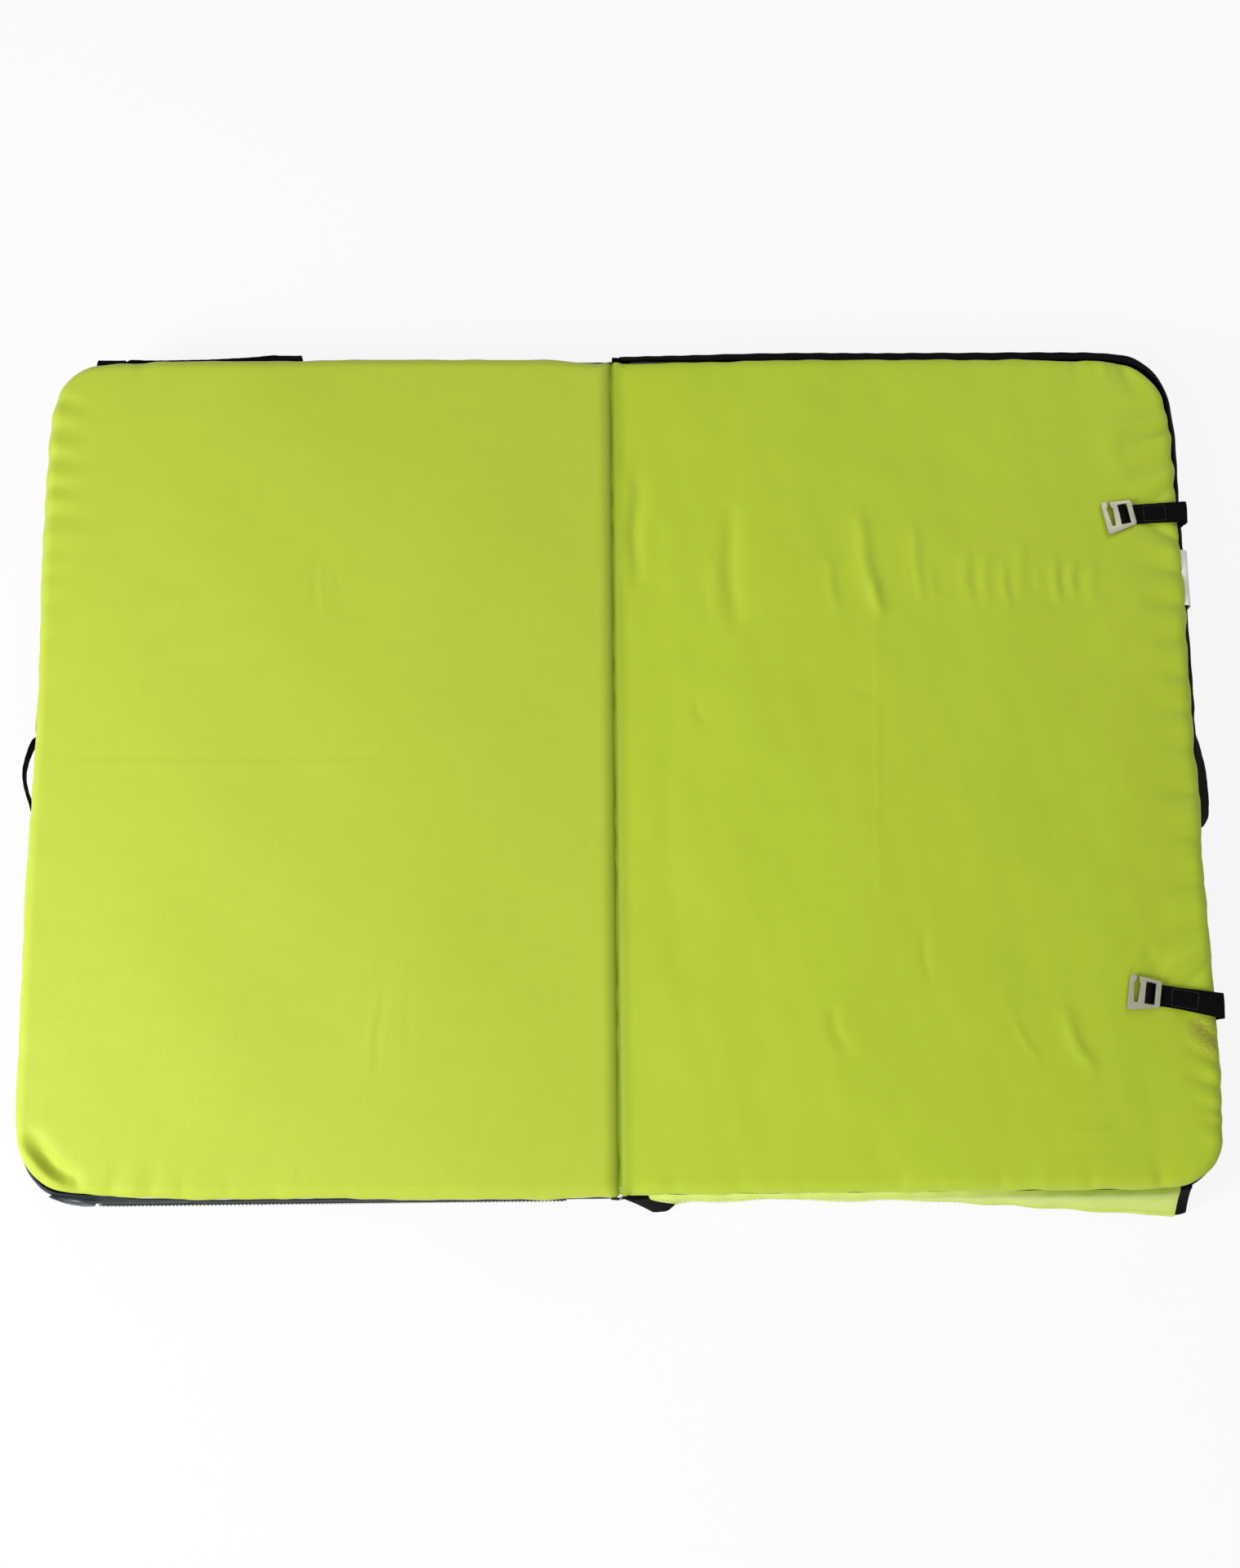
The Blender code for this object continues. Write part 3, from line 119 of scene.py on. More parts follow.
# Beside the fold each far hem is drawn in too: how far, and over what length
FOLD_HEM_PULL = {"left": (0.0045, 0.080), "right": (0.0050, 0.240)}
BAND_ENDS_Y = -0.070  # nearer than this the right cover hangs over its wall
FOAM_SHARE = 0.984  # plan size of the foam blocks, so that they lie well inside the walls
CROWN = 0.006
CROWN_REACH = 0.240
GRAIN = 0.0036  # spacing of the points of a landing cover
HEM_REACH = 0.066  # how far in from the edge of the cloth the drawing in of a hem is felt
WALL_COLUMNS, PIPING_COLUMNS = 520, 560
WALL_FOOT = 0.0023  # level of the walls' lower seam
PIPING_RADIUS = 0.0011

# Straps and hooks
STRAP_PLACES = {"far": FAR_EDGE - 0.198, "near": NEAR_EDGE + 0.201}
STRAP_LENGTHS = {"far": 0.0627, "near": 0.0715}
STRAP_TURNS = {"far": 4.0, "near": -9.5}
STRAP_TILT = 2.6
HOOK_TILT = 1.4
HOOK_SKEWS = {"far": 7.0, "near": 0.0}
ROOT_OUT = 0.0085
ROOT_LEVEL = 0.1012
WEB_THICK = 0.0018
WEB_WIDTH = 0.0240  # on the landing face; ROOT_WIDTHS are at the rim
ROOT_WIDTHS = {"far": 0.0255, "near": 0.0285}
STITCHED_WIDTH = 0.019  # between the seams along a webbing
HOOK_BAR = (0.0157, 0.0020)  # along the strap from its crease, and up out of it

# Camera, fitted to the pad's edges in the picture. The focal length is a choice: from 1900 to 2600
# pixels the fit is about as good, with the camera between 1.85 and 2.48 m up.
FOCAL_PIXELS = 2214
PICTURE_HEIGHT = 1920
SENSOR = 36.0
CAMERA_PLACE = (-0.0379, -0.4342, 2.133)
CAMERA_TURN = (0.1975, -0.0186, -0.0107)

# Both covers are the same lime cloth. The left one's colours are paler and bluer: a painted sheen from
# the light on that side.
LEFT_SHEEN_LIME = (0.466, 0.566, 0.038)
LEFT_SHEEN_LIME_DEEP = (0.410, 0.508, 0.026)
RIGHT_LIME = (0.458, 0.580, 0.028)
RIGHT_LIME_DEEP = (0.400, 0.520, 0.020)
# The colour of painted shade in the crease between the halves, also the deep colour of the fold tape
# there.
CREASE_SHADE_LIME = (0.200, 0.280, 0.006)
# The flap is the covers' lime cloth painted paler: a painted sheen where the light grazes it.
# FLAP_SHADE is a painted shadow under the cover's rim.
FLAP_SHEEN_LIME = (0.640, 0.770, 0.150)
FLAP_SHEEN_LIME_DEEP = (0.580, 0.710, 0.110)
FLAP_SHADE = (0.215, 0.310, 0.006)
STAIN_BROWN = (0.30, 0.23, 0.03)
SLATE = (0.016, 0.023, 0.026)
BLACK = (0.0030, 0.0031, 0.0035)
WEB_BLACK = (0.0028, 0.0028, 0.0032)
ALLOY = (0.38, 0.37, 0.28)
TAG_PALE = (0.95, 0.96, 0.92)
THREAD_PALE = (0.75, 0.75, 0.70)
NICK_GREY = (0.3, 0.29, 0.26)
FOAM_GREY = (0.20, 0.21, 0.22)
FOAM_PALE = (0.66, 0.63, 0.50)
PLASTIC_BLACK = (0.015, 0.015, 0.016)
BACKDROP = (0.956, 0.956, 0.956)
FLOOR_GLOW = (0.982, 0.982, 0.982)


# ---------------------------------------------------------------- shader groups

WEBBING_RIBS = 620.0  # a metre


def new_group(name, outputs, **inputs):
    """A shader group with a vector and its other named sockets, and its two end nodes."""
    group = bpy.data.node_groups.new(name, "ShaderNodeTree")
    group.interface.new_socket("Vector", in_out="INPUT", socket_type="NodeSocketVector")
    for socket, value in inputs.items():
        kind = "NodeSocketFloat" if isinstance(value, float) else "NodeSocketVector"
        made = group.interface.new_socket(socket, in_out="INPUT", socket_type=kind)
        made.default_value = value
    for socket in outputs:
        group.interface.new_socket(socket, in_out="OUTPUT", socket_type="NodeSocketFloat")
    return group, group.nodes.new("NodeGroupInput"), group.nodes.new("NodeGroupOutput")


def hand_out(group, end, **found):
    """Links what a group works out to its output sockets."""
    for name, socket in found.items():
        group.links.new(socket, end.inputs[name])
    return group


def maths(tree, operation, first, second=None, third=None, clamp=False):
    step = tree.nodes.new("ShaderNodeMath")
    step.operation = operation
    step.use_clamp = clamp
    for socket, value in zip(step.inputs, (first, second, third)):
        if value is None:
            continue
        if isinstance(value, (int, float)):
            socket.default_value = value
        else:
            tree.links.new(value, socket)
    return step.outputs[0]


def scaled(tree, vector, factors):
    step = tree.nodes.new("ShaderNodeVectorMath")
    step.operation = "MULTIPLY"
    tree.links.new(vector, step.inputs[0])
    step.inputs[1].default_value = factors
    return step.outputs[0]


def noise_of(tree, vector, scale, detail=2.0, roughness=0.5):
    step = tree.nodes.new("ShaderNodeTexNoise")
    tree.links.new(vector, step.inputs["Vector"])
    step.inputs["Scale"].default_value = scale
    step.inputs["Detail"].default_value = detail
    step.inputs["Roughness"].default_value = roughness
    return step.outputs["Fac"]


def blend_colours(tree, factor, first, second):
    step = tree.nodes.new("ShaderNodeMix")
    step.data_type = "RGBA"
    for index, value in ((0, factor), (6, first), (7, second)):
        socket = step.inputs[index]
        if isinstance(value, (int, float)):
            socket.default_value = value
        elif isinstance(value, tuple):
            socket.default_value = (*value, 1.0)
        else:
            tree.links.new(value, socket)
    return step.outputs[2]


def make_weave_group():
    """Plain woven cloth: fine crossing threads, some thicker ones, and broad mottling."""
    group, start, end = new_group("cloth_weave", ("Height", "Slub", "Mottle"), Threads=900.0)
    vector = start.outputs["Vector"]
    split = group.nodes.new("ShaderNodeSeparateXYZ")
    group.links.new(vector, split.inputs[0])
    waves = []
    for axis in ("X", "Y"):
        turned = maths(group, "MULTIPLY", split.outputs[axis], start.outputs["Threads"])
        waves.append(maths(group, "SINE", maths(group, "MULTIPLY", turned, math.tau)))
    height = maths(group, "MULTIPLY_ADD", maths(group, "MULTIPLY", waves[0], waves[1]), 0.5, 0.5)
    across = noise_of(group, scaled(group, vector, (14.0, 460.0, 1.0)), 1.0, 3.0)
    along = noise_of(group, scaled(group, vector, (460.0, 14.0, 1.0)), 1.0, 3.0)
    slub = maths(group, "MULTIPLY_ADD", maths(group, "ADD", across, along), 1.6, -1.1, clamp=True)
    mottle = noise_of(group, vector, 7.0, 4.0, 0.6)
    return hand_out(group, end, Height=height, Slub=slub, Mottle=mottle)


def make_webbing_group():
    """Heavy woven tape: ribs across it and a chevron down each side, on a map in metres."""
    group, start, end = new_group("webbing_ribs", ("Height", "Fuzz"), Ribs=WEBBING_RIBS)
    split = group.nodes.new("ShaderNodeSeparateXYZ")
    group.links.new(start.outputs["Vector"], split.inputs[0])
    across = maths(group, "PINGPONG", split.outputs["X"], 0.0035)
    slanted = maths(group, "ADD", split.outputs["Y"], across)
    pace = maths(group, "MULTIPLY", start.outputs["Ribs"], math.tau)
    wave = maths(group, "SINE", maths(group, "MULTIPLY", slanted, pace))
    cords = maths(group, "SINE", maths(group, "MULTIPLY", split.outputs["X"], math.tau * 900))
    height = maths(group, "MULTIPLY_ADD", cords, 0.15, 0.5)
    height = maths(group, "MULTIPLY_ADD", wave, 0.35, height)
    fuzz = noise_of(group, start.outputs["Vector"], 900.0, 3.0, 0.7)
    return hand_out(group, end, Height=height, Fuzz=fuzz)


def make_foam_group():
    """Cut foam: open pores of two sizes."""
    group, start, end = new_group("foam_pores", ("Height", "Shade"), Pores=500.0)
    cells = group.nodes.new("ShaderNodeTexVoronoi")
    group.links.new(start.outputs["Vector"], cells.inputs["Vector"])
    group.links.new(start.outputs["Pores"], cells.inputs["Scale"])
    broad = noise_of(group, start.outputs["Vector"], 40.0, 3.0)
    shade = maths(group, "MULTIPLY", cells.outputs["Distance"], broad)
    return hand_out(group, end, Height=cells.outputs["Distance"], Shade=shade)


def make_metal_group():
    """Tumbled alloy: fine lengthwise brushing, a few dull blotches and small nicks."""
    group, start, end = new_group("tumbled_alloy", ("Brush", "Blotch", "Nicks"))
    vector = start.outputs["Vector"]
    brush = noise_of(group, scaled(group, vector, (300.0, 3000.0, 300.0)), 1.0, 3.0, 0.6)
    blotch = noise_of(group, vector, 160.0, 4.0, 0.6)
    nicks = noise_of(group, vector, 900.0, 2.0, 0.8)
    nicks = maths(group, "MULTIPLY_ADD", nicks, 4.0, -2.2, clamp=True)
    return hand_out(group, end, Brush=brush, Blotch=blotch, Nicks=nicks)


def make_smudge_group():
    """A soft-edged dirty patch round a place, broken up by noise."""
    group, start, end = new_group("rubbed_dirt", ("Mask",), Place=(0.0, 0.0, 0.0), Radius=0.02)
    away = group.nodes.new("ShaderNodeVectorMath")
    away.operation = "DISTANCE"
    group.links.new(start.outputs["Vector"], away.inputs[0])
    group.links.new(start.outputs["Place"], away.inputs[1])
    near = maths(group, "DIVIDE", away.outputs["Value"], start.outputs["Radius"])
    inside = maths(group, "SUBTRACT", 1.0, near, clamp=True)
    specks = noise_of(group, start.outputs["Vector"], 260.0, 4.0, 0.75)
    specks = maths(group, "MULTIPLY_ADD", specks, 5.0, -1.75, clamp=True)
    return hand_out(group, end, Mask=maths(group, "MULTIPLY", inside, specks))


GROUPS = {
    "weave": make_weave_group(),
    "webbing": make_webbing_group(),
    "foam": make_foam_group(),
    "metal": make_metal_group(),
    "smudge": make_smudge_group(),
}


# ---------------------------------------------------------------- materials

def new_material(name, roughness, metallic=0.0, sheen=0.0, specular=0.5):
    made = bpy.data.materials.new(name)
    made.use_nodes = True
    tree = made.node_tree
    shader = tree.nodes["Principled BSDF"]
    shader.inputs["Roughness"].default_value = roughness
    shader.inputs["Metallic"].default_value = metallic
    shader.inputs["Sheen Weight"].default_value = sheen
    shader.inputs["Sheen Roughness"].default_value = 0.5
    shader.inputs["Specular IOR Level"].default_value = specular
    return made, tree, shader


def place_group(tree, key, vector, **values):
    made = tree.nodes.new("ShaderNodeGroup")
    made.node_tree = GROUPS[key]
    tree.links.new(vector, made.inputs["Vector"])
    for name, value in values.items():
        made.inputs[name].default_value = value
    return made


def coordinates(tree, kind):
    return tree.nodes.new("ShaderNodeTexCoord").outputs[kind]


def dress(tree, shader, colour, height, relief, rough=None):
    """Gives a shader its colour, its relief in metres and where it varies its roughness."""
    step = tree.nodes.new("ShaderNodeBump")
    step.inputs["Strength"].default_value = 1.0
    step.inputs["Distance"].default_value = relief
    tree.links.new(height, step.inputs["Height"])
    tree.links.new(step.outputs["Normal"], shader.inputs["Normal"])
    tree.links.new(colour, shader.inputs["Base Color"])
    if rough is not None:
        tree.links.new(rough, shader.inputs["Roughness"])


SLUB_SHARE = 0.30  # how much of the deep colour the thick threads take


def cloth_material(name, colour, deep, roughness, threads, relief, sheen=0.0, specular=0.5,
                   smudges=(), shaded=None):
    """Woven cloth, darker along its thicker threads and where dirt is rubbed in, with painted shade
    along a crease or seam.

    Each of the smudges is a place, a radius, a colour and a strength. shaded holds the painted shade:
    axes, each with the places where the painted shade is deepest and where it ends, then its colour and
    its strength.
    """
    made, tree, shader = new_material(name, roughness, sheen=sheen, specular=specular)
    weave = place_group(tree, "weave", coordinates(tree, "UV"), Threads=threads)
    slub = maths(tree, "MULTIPLY", weave.outputs["Slub"], SLUB_SHARE)
    broad = maths(tree, "MULTIPLY_ADD", weave.outputs["Mottle"], 0.9, -0.3, clamp=True)
    factor = maths(tree, "ADD", slub, maths(tree, "MULTIPLY", broad, 0.35), clamp=True)
    shown = blend_colours(tree, factor, colour, deep)
    for place, radius, tint, strength in smudges:
        dirt = place_group(tree, "smudge", coordinates(tree, "Object"), Place=place, Radius=radius)
        mask = maths(tree, "MULTIPLY", dirt.outputs["Mask"], strength)
        shown = blend_colours(tree, mask, shown, tint)
    # Painted shade: the colour darkens towards a seam or crease along each of the given axes.
    if shaded:
        spans, tint, strength = shaded
        split = tree.nodes.new("ShaderNodeSeparateXYZ")
        tree.links.new(coordinates(tree, "Object"), split.inputs[0])
        mask = strength
        for axis, seam, end in spans:
            share = maths(tree, "MULTIPLY_ADD", split.outputs[axis], 1 / (seam - end),
                          end / (end - seam), clamp=True)
            mask = maths(tree, "MULTIPLY", maths(tree, "POWER", share, 1.4), mask)
        shown = blend_colours(tree, mask, shown, tint)
    rough = maths(tree, "MULTIPLY_ADD", weave.outputs["Slub"], 0.10, roughness - 0.05)
    height = maths(tree, "MULTIPLY_ADD", weave.outputs["Slub"], 0.6, weave.outputs["Height"])
    dress(tree, shader, shown, height, relief, rough)
    return made


def webbing_material(name, colour, pale):
    made, tree, shader = new_material(name, 0.80, specular=0.03)
    web = place_group(tree, "webbing", coordinates(tree, "UV"))
    factor = maths(tree, "MULTIPLY", web.outputs["Height"], web.outputs["Fuzz"])
    dress(tree, shader, blend_colours(tree, factor, colour, pale), web.outputs["Height"], 0.00035)
    return made


def foam_material(name, colour, pores):
    made, tree, shader = new_material(name, 0.9, specular=0.2)
    foam = place_group(tree, "foam", coordinates(tree, "Object"), Pores=pores)
    dark = tuple(0.6 * part for part in colour)
    shown = blend_colours(tree, foam.outputs["Shade"], dark, colour)
    dress(tree, shader, shown, foam.outputs["Height"], 0.0004)
    return made


def alloy_material(name, colour, roughness):
    made, tree, shader = new_material(name, roughness, metallic=0.85)
    metal = place_group(tree, "metal", coordinates(tree, "Object"))
    dull = tuple(0.72 * part for part in colour)
    shown = blend_colours(tree, maths(tree, "MULTIPLY", metal.outputs["Blotch"], 0.7), colour, dull)
    nicks = maths(tree, "MULTIPLY", metal.outputs["Nicks"], 0.6)
    shown = blend_colours(tree, nicks, shown, NICK_GREY)
    rough = maths(tree, "MULTIPLY_ADD", metal.outputs["Brush"], 0.25, roughness - 0.10)
    dress(tree, shader, shown, metal.outputs["Brush"], 0.00008, rough)
    return made


def plastic_material(name, colour):
    made, tree, shader = new_material(name, 0.45)
    grain = noise_of(tree, coordinates(tree, "Object"), 1400.0, 2.0)
    pale = tuple(2.0 * part for part in colour)
    shown = blend_colours(tree, maths(tree, "MULTIPLY", grain, 0.5), colour, pale)
    dress(tree, shader, shown, grain, 0.00006)
    return made


def thread_material(name, colour):
    made, tree, shader = new_material(name, 0.55, sheen=0.1)
    twist = noise_of(tree, coordinates(tree, "Object"), 2500.0, 1.0)
    deep = tuple(0.6 * part for part in colour)
    dress(tree, shader, blend_colours(tree, twist, deep, colour), twist, 0.00005)
    return made


STAINS = (
    ((0.657, -0.313, 0.098), 0.022, STAIN_BROWN, 0.95),
    ((0.663, -0.332, 0.096), 0.018, STAIN_BROWN, 0.90),
)
MATERIALS = {
    # Both covers are painted darker towards the fold line: painted shade in the crease.
    "left_lime": cloth_material("left_landing_nylon", LEFT_SHEEN_LIME, LEFT_SHEEN_LIME_DEEP, 0.50, 900.0,
                                0.00010, sheen=0.10, specular=0.32,
                                shaded=((("X", 0.0, -0.018),), CREASE_SHADE_LIME, 0.75)),
    "right_lime": cloth_material("right_landing_nylon", RIGHT_LIME, RIGHT_LIME_DEEP, 0.50, 900.0,
                                 0.00010, sheen=0.08, specular=0.30, smudges=STAINS,
                                 shaded=((("X", 0.0, 0.018),), CREASE_SHADE_LIME, 0.85)),
    # The fold tape is the covers' lime cloth painted much darker: painted shade deep in the crease.
    "tape_lime_painted_shade": cloth_material("fold_tape_nylon", (0.25, 0.34, 0.012), CREASE_SHADE_LIME, 0.60, 900.0,
                                0.00010, specular=0.15),
    # Flap: a painted sheen in its pale colours, and a painted shadow under the cover's rim, deepest at
    # its top and towards its outer end.
    "flap_sheen_lime": cloth_material("flap_nylon", FLAP_SHEEN_LIME, FLAP_SHEEN_LIME_DEEP, 0.60, 900.0, 0.00010,
                                sheen=0.08, specular=0.20,
                                shaded=((("Z", 0.0870, 0.0450), ("X", 0.50, 0.28)), FLAP_SHADE,
                                        0.92)),
    # A pale copy of the slate satin: its pale colour is a painted sheen, bright enough to show in the
    # shade under the cover's rim.
    "satin": cloth_material("slate_satin_painted_sheen", (0.40, 0.46, 0.50), (0.26, 0.31, 0.34), 0.34,
                            1100.0, 0.00006),
    "slate": cloth_material("slate_satin", SLATE, (0.012, 0.016, 0.019), 0.50, 1100.0, 0.00006,
                            specular=0.15),
    "black_cloth": cloth_material("black_nylon", BLACK, (0.0050, 0.0050, 0.0056), 0.70, 1000.0,
                                  0.00010, specular=0.02),
    "base_cloth": cloth_material("base_oxford", (0.014, 0.014, 0.016), (0.008, 0.008, 0.009), 0.60,
                                 520.0, 0.00022),
    "binding": cloth_material("black_binding", (0.0024, 0.0024, 0.0028), (0.0016, 0.0016, 0.0018),
                              0.70, 700.0, 0.00015, specular=0.02),
    "fluff": cloth_material("loop_pile", (0.018, 0.019, 0.021), (0.006, 0.006, 0.007), 0.9, 430.0,
                            0.0006, sheen=0.5),
    "bristle": cloth_material("hook_pile", (0.012, 0.012, 0.013), (0.004, 0.004, 0.005), 0.7,
                              560.0, 0.0006),
    "webbing": webbing_material("black_webbing", WEB_BLACK, (0.0075, 0.0075, 0.0085)),
    "alloy": alloy_material("satin_alloy", ALLOY, 0.44),
    "zip_metal": alloy_material("zip_alloy", (0.40, 0.40, 0.40), 0.32),
    "tag": cloth_material("blank_tag", TAG_PALE, (0.80, 0.80, 0.77), 0.6, 800.0, 0.00012),
    "grey_foam": foam_material("closed_cell_foam", FOAM_GREY, 700.0),
    "pale_foam": foam_material("open_cell_foam", FOAM_PALE, 420.0),
    "plastic": plastic_material("buckle_acetal", PLASTIC_BLACK),
    "black_thread": thread_material("black_thread", (0.006, 0.006, 0.007)),
    "lime_thread": thread_material("lime_thread", (0.46, 0.56, 0.06)),
    "pale_thread": thread_material("pale_thread", THREAD_PALE),
}


# ---------------------------------------------------------------- making pieces

def mesh_of(name, shape):
    """The mesh of a finished bmesh, which is freed."""
    data = bpy.data.meshes.new(name)
    shape.to_mesh(data)
    shape.free()
    return data


def add_object(name, data):
    made = bpy.data.objects.new(name, data)
    bpy.context.scene.collection.objects.link(made)
    return made


def place_mesh(name, data, material, body, slot=None, replaces=(), sharp=40):
    """A mesh in the scene, smooth but for its sharp edges, riding on its body."""
    data.shade_smooth()
    data.set_sharp_from_angle(angle=math.radians(sharp))
    data.materials.append(MATERIALS[material])
    made = add_object(name, data)
    if body:
        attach(made, body)
    if replaces:
        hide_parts(*replaces)
    return made


def finish_piece(name, shape, *facts, **more):
    """Does the same with a finished bmesh."""
    return place_mesh(name, mesh_of(name, shape), *facts, **more)


def patch(columns, rows, size, place, closed=False):
    """A grid whose points place(across, along) puts in space, with a map of its flat size."""
    shape = bmesh.new()
    bmesh.ops.create_grid(shape, x_segments=columns, y_segments=rows, size=0.5)
    layer = shape.loops.layers.uv.new("cloth")
    for face in shape.faces:
        for loop in face.loops:
            spot = loop.vert.co
            loop[layer].uv = ((spot.x + 0.5) * size[0], (spot.y + 0.5) * size[1])
    for vertex in shape.verts:
        vertex.co = place(vertex.co.x + 0.5, vertex.co.y + 0.5)
    if closed:
        bmesh.ops.remove_doubles(shape, verts=shape.verts, dist=1e-6)
    return shape


def thicken(shape, thickness):
    """Gives a sheet its thickness, on the side that its faces look away from."""
    bmesh.ops.recalc_face_normals(shape, faces=shape.faces)
    bmesh.ops.solidify(shape, geom=shape.faces, thickness=thickness)
    return shape


def soften(shape, width, segments=2, angle=50):
    """Rounds every edge sharper than an angle."""
    limit = math.radians(angle)
    sharp = [edge for edge in shape.edges
             if len(edge.link_faces) == 2 and edge.calc_face_angle() > limit]
    bmesh.ops.bevel(
        shape, geom=sharp, offset=width, offset_type="OFFSET", segments=segments, profile=0.5,
        affect="EDGES", clamp_overlap=True, material=-1,
    )
    return shape


def copy_of(node):
    """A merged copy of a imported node's mesh, with its flat faces whole again."""
    shape = bmesh.new()
    shape.from_mesh(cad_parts[node].data)
    bmesh.ops.remove_doubles(shape, verts=shape.verts, dist=1e-6)
    bmesh.ops.dissolve_limit(
        shape, angle_limit=math.radians(2), verts=shape.verts, edges=shape.edges
    )
    return shape


def map_flat(shape):
    """A map in metres by the way that each face looks."""
    layer = shape.loops.layers.uv.verify()
    for face in shape.faces:
        n = face.normal
        biggest = max(range(3), key=lambda i: abs(n[i]))
        axes = [i for i in range(3) if i != biggest]
        for loop in face.loops:
            loop[layer].uv = (loop.vert.co[axes[0]], loop.vert.co[axes[1]])


def smooth_path(points, steps):
    """A smooth run of points through the given ones, evenly spaced along it."""
    points = [Vector(point) for point in points]
    fine = []
    for i in range(len(points) - 1):
        before = points[max(i - 1, 0)]
        after = points[min(i + 2, len(points) - 1)]
        a, b = points[i], points[i + 1]
        for step in range(8):
            t = step / 8
            fine.append(
                0.5 * ((2 * a) + (b - before) * t + (2 * before - 5 * a + 4 * b - after) * t * t
                       + (3 * a - before - 3 * b + after) * t * t * t)
            )
    fine.append(points[-1])
    lengths = [0.0]
    for start, end in zip(fine, fine[1:]):
        lengths.append(lengths[-1] + (end - start).length)
    spread = []
    for step in range(steps + 1):
        goal = lengths[-1] * step / steps
        i = max(j for j in range(len(fine)) if lengths[j] <= goal + 1e-12)
        i = min(i, len(fine) - 2)
        share = (goal - lengths[i]) / max(lengths[i + 1] - lengths[i], 1e-12)
        spread.append(fine[i].lerp(fine[i + 1], share))
    return spread, lengths[-1]


def ribbon(points, sideways, width, thickness, steps, columns=6, crinkle=0.0, seed=0):
    """Flat webbing along a path. Its direction across and its width may change with the share along."""
    path, length = smooth_path(points, steps)
    waves = np.random.RandomState(seed).uniform(-1, 1, (4, 3))

    def place(across, along):
        i = min(int(round(along * steps)), steps)
        ahead = path[min(i + 1, steps)] - path[max(i - 1, 0)]
        side = sideways(along) if callable(sideways) else Vector(sideways)
        side = (side - ahead.normalized() * side.dot(ahead.normalized())).normalized()
        up = side.cross(ahead).normalized()
        wide = width(along) if callable(width) else width
        spot = path[i] + side * ((across - 0.5) * wide)
        if crinkle:
            lift = sum(a * math.sin(9 * b * along * length * 60 + 5 * c * across * 3 + 7 * a)
                       for a, b, c in waves)
            spot += up * (crinkle * lift)
        return spot

    shape = patch(columns, steps, (width(0.5) if callable(width) else width, length), place)
    thicken(shape, thickness)
    return soften(shape, thickness * 0.3, 2, 60)


def stitch_run(shape, start, end, up, pitch=0.0036, length=0.0026, radius=0.00032):
    """A straight run of stitches between two points, added to a mesh."""
    start, end, up = Vector(start), Vector(end), Vector(up).normalized()
    run = end - start
    count = max(int(run.length / pitch), 1)
    ahead = run.normalized()
    side = up.cross(ahead).normalized()
    turn = Matrix((side, up, ahead)).transposed().to_4x4()
    stretch = Matrix.Diagonal((radius, radius, length / 2, 1))
    for i in range(count):
        middle = start + ahead * ((i + 0.5) * run.length / count)
        bmesh.ops.create_uvsphere(
            shape, u_segments=5, v_segments=4, radius=1.0,
            matrix=Matrix.Translation(middle) @ turn @ stretch,
        )


def box_stitch(shape, middle, across, along, width, length, up):
    """A sewn box with a cross in it."""
    middle, across, along = Vector(middle), Vector(across).normalized(), Vector(along).normalized()
    corners = [
        middle + across * (a * width / 2) + along * (b * length / 2)
        for a, b in ((-1, -1), (1, -1), (1, 1), (-1, 1))
    ]
    for start, end in ((0, 1), (1, 2), (2, 3), (3, 0), (0, 2), (1, 3)):
        stitch_run(shape, corners[start], corners[end], up)


def clamped(part):
    return min(1, max(0, part))


def eased(part):
    """A share from 0 to 1, slow at both ends."""
    return part * part * (3 - 2 * part)


def between(rows, share, column):
    """A value of a table at a share, eased between its rows."""
    for before, after in zip(rows, rows[1:]):
        if share <= after[0]:
            part = (share - before[0]) / (after[0] - before[0])
            part = (1 - math.cos(math.pi * part)) / 2
            return before[column] + (after[column] - before[column]) * part
    return rows[-1][column]


# ---------------------------------------------------------------- the plan of one half

def side_weights(normal_x, normal_y, way):
    """Shares of the fold, outer, near and far sides in a direction out of the plan."""
    outward = normal_x * way
    return {
        "outer": np.where(outward > 0, normal_x**2, 0.0),
        "fold": np.where(outward <= 0, normal_x**2, 0.0),
        "far": np.where(normal_y > 0, normal_y**2, 0.0),
        "near": np.where(normal_y <= 0, normal_y**2, 0.0),
    }


def by_side(values, weights):
    return sum(values[side] * weights[side] for side in SIDES)


def corner_pull(half, x, y, layer):
    """How far the wall (layer 0) or the cover (layer 1) is drawn in near an outer corner."""
    inset = (1 - math.sqrt(0.5)) * OUTER_CORNER
    pull = 0.0
    for end, corner_y in (("near", NEAR_EDGE + inset), ("far", FAR_EDGE - inset)):
        away = np.hypot(x - WAY[half] * (EDGE - inset), y - corner_y) / CORNER_REACH
        pull = pull + CORNER_PULL[half, end][layer] * np.cos(np.minimum(away, 1) * math.pi / 2) ** 2
    return pull


def draw_in(shape, half):
    """Draws a mesh's outer corners in as far as the wall's."""
    for vertex in shape.verts:
        x, y = vertex.co.x, vertex.co.y - MIDDLE_Y
        past_x = max(0.0, abs(x) - (EDGE - OUTER_CORNER))
        past_y = max(0.0, abs(y) - (HALF_LONG / 2 - OUTER_CORNER))
        past = Vector((math.copysign(past_x, x), math.copysign(past_y, y), 0))
        if past.length > 1e-6:
            pull = float(corner_pull(half, x, vertex.co.y, 0))
            vertex.co -= past.normalized() * (pull * min(1, past.length / (0.6 * OUTER_CORNER)))
    return shape


def rim_shift(half, side, along):
    """How far out the rim of a cover stands at a place along a side."""
    if (half, side) not in RIM_SHIFTS:
        return 0.0
    places, shifts = zip(*RIM_SHIFTS[half, side])
    return np.interp(along, places, shifts) * 1e-3


def near_wall(x, out):
    """A place on the left half's near wall, some way out of its seam."""
    past = max(0, -x - (EDGE - OUTER_CORNER))
    turned = OUTER_CORNER - math.sqrt(OUTER_CORNER**2 - past**2)
    return NEAR_EDGE - out + turned + float(corner_pull("left", x, NEAR_EDGE, 0))


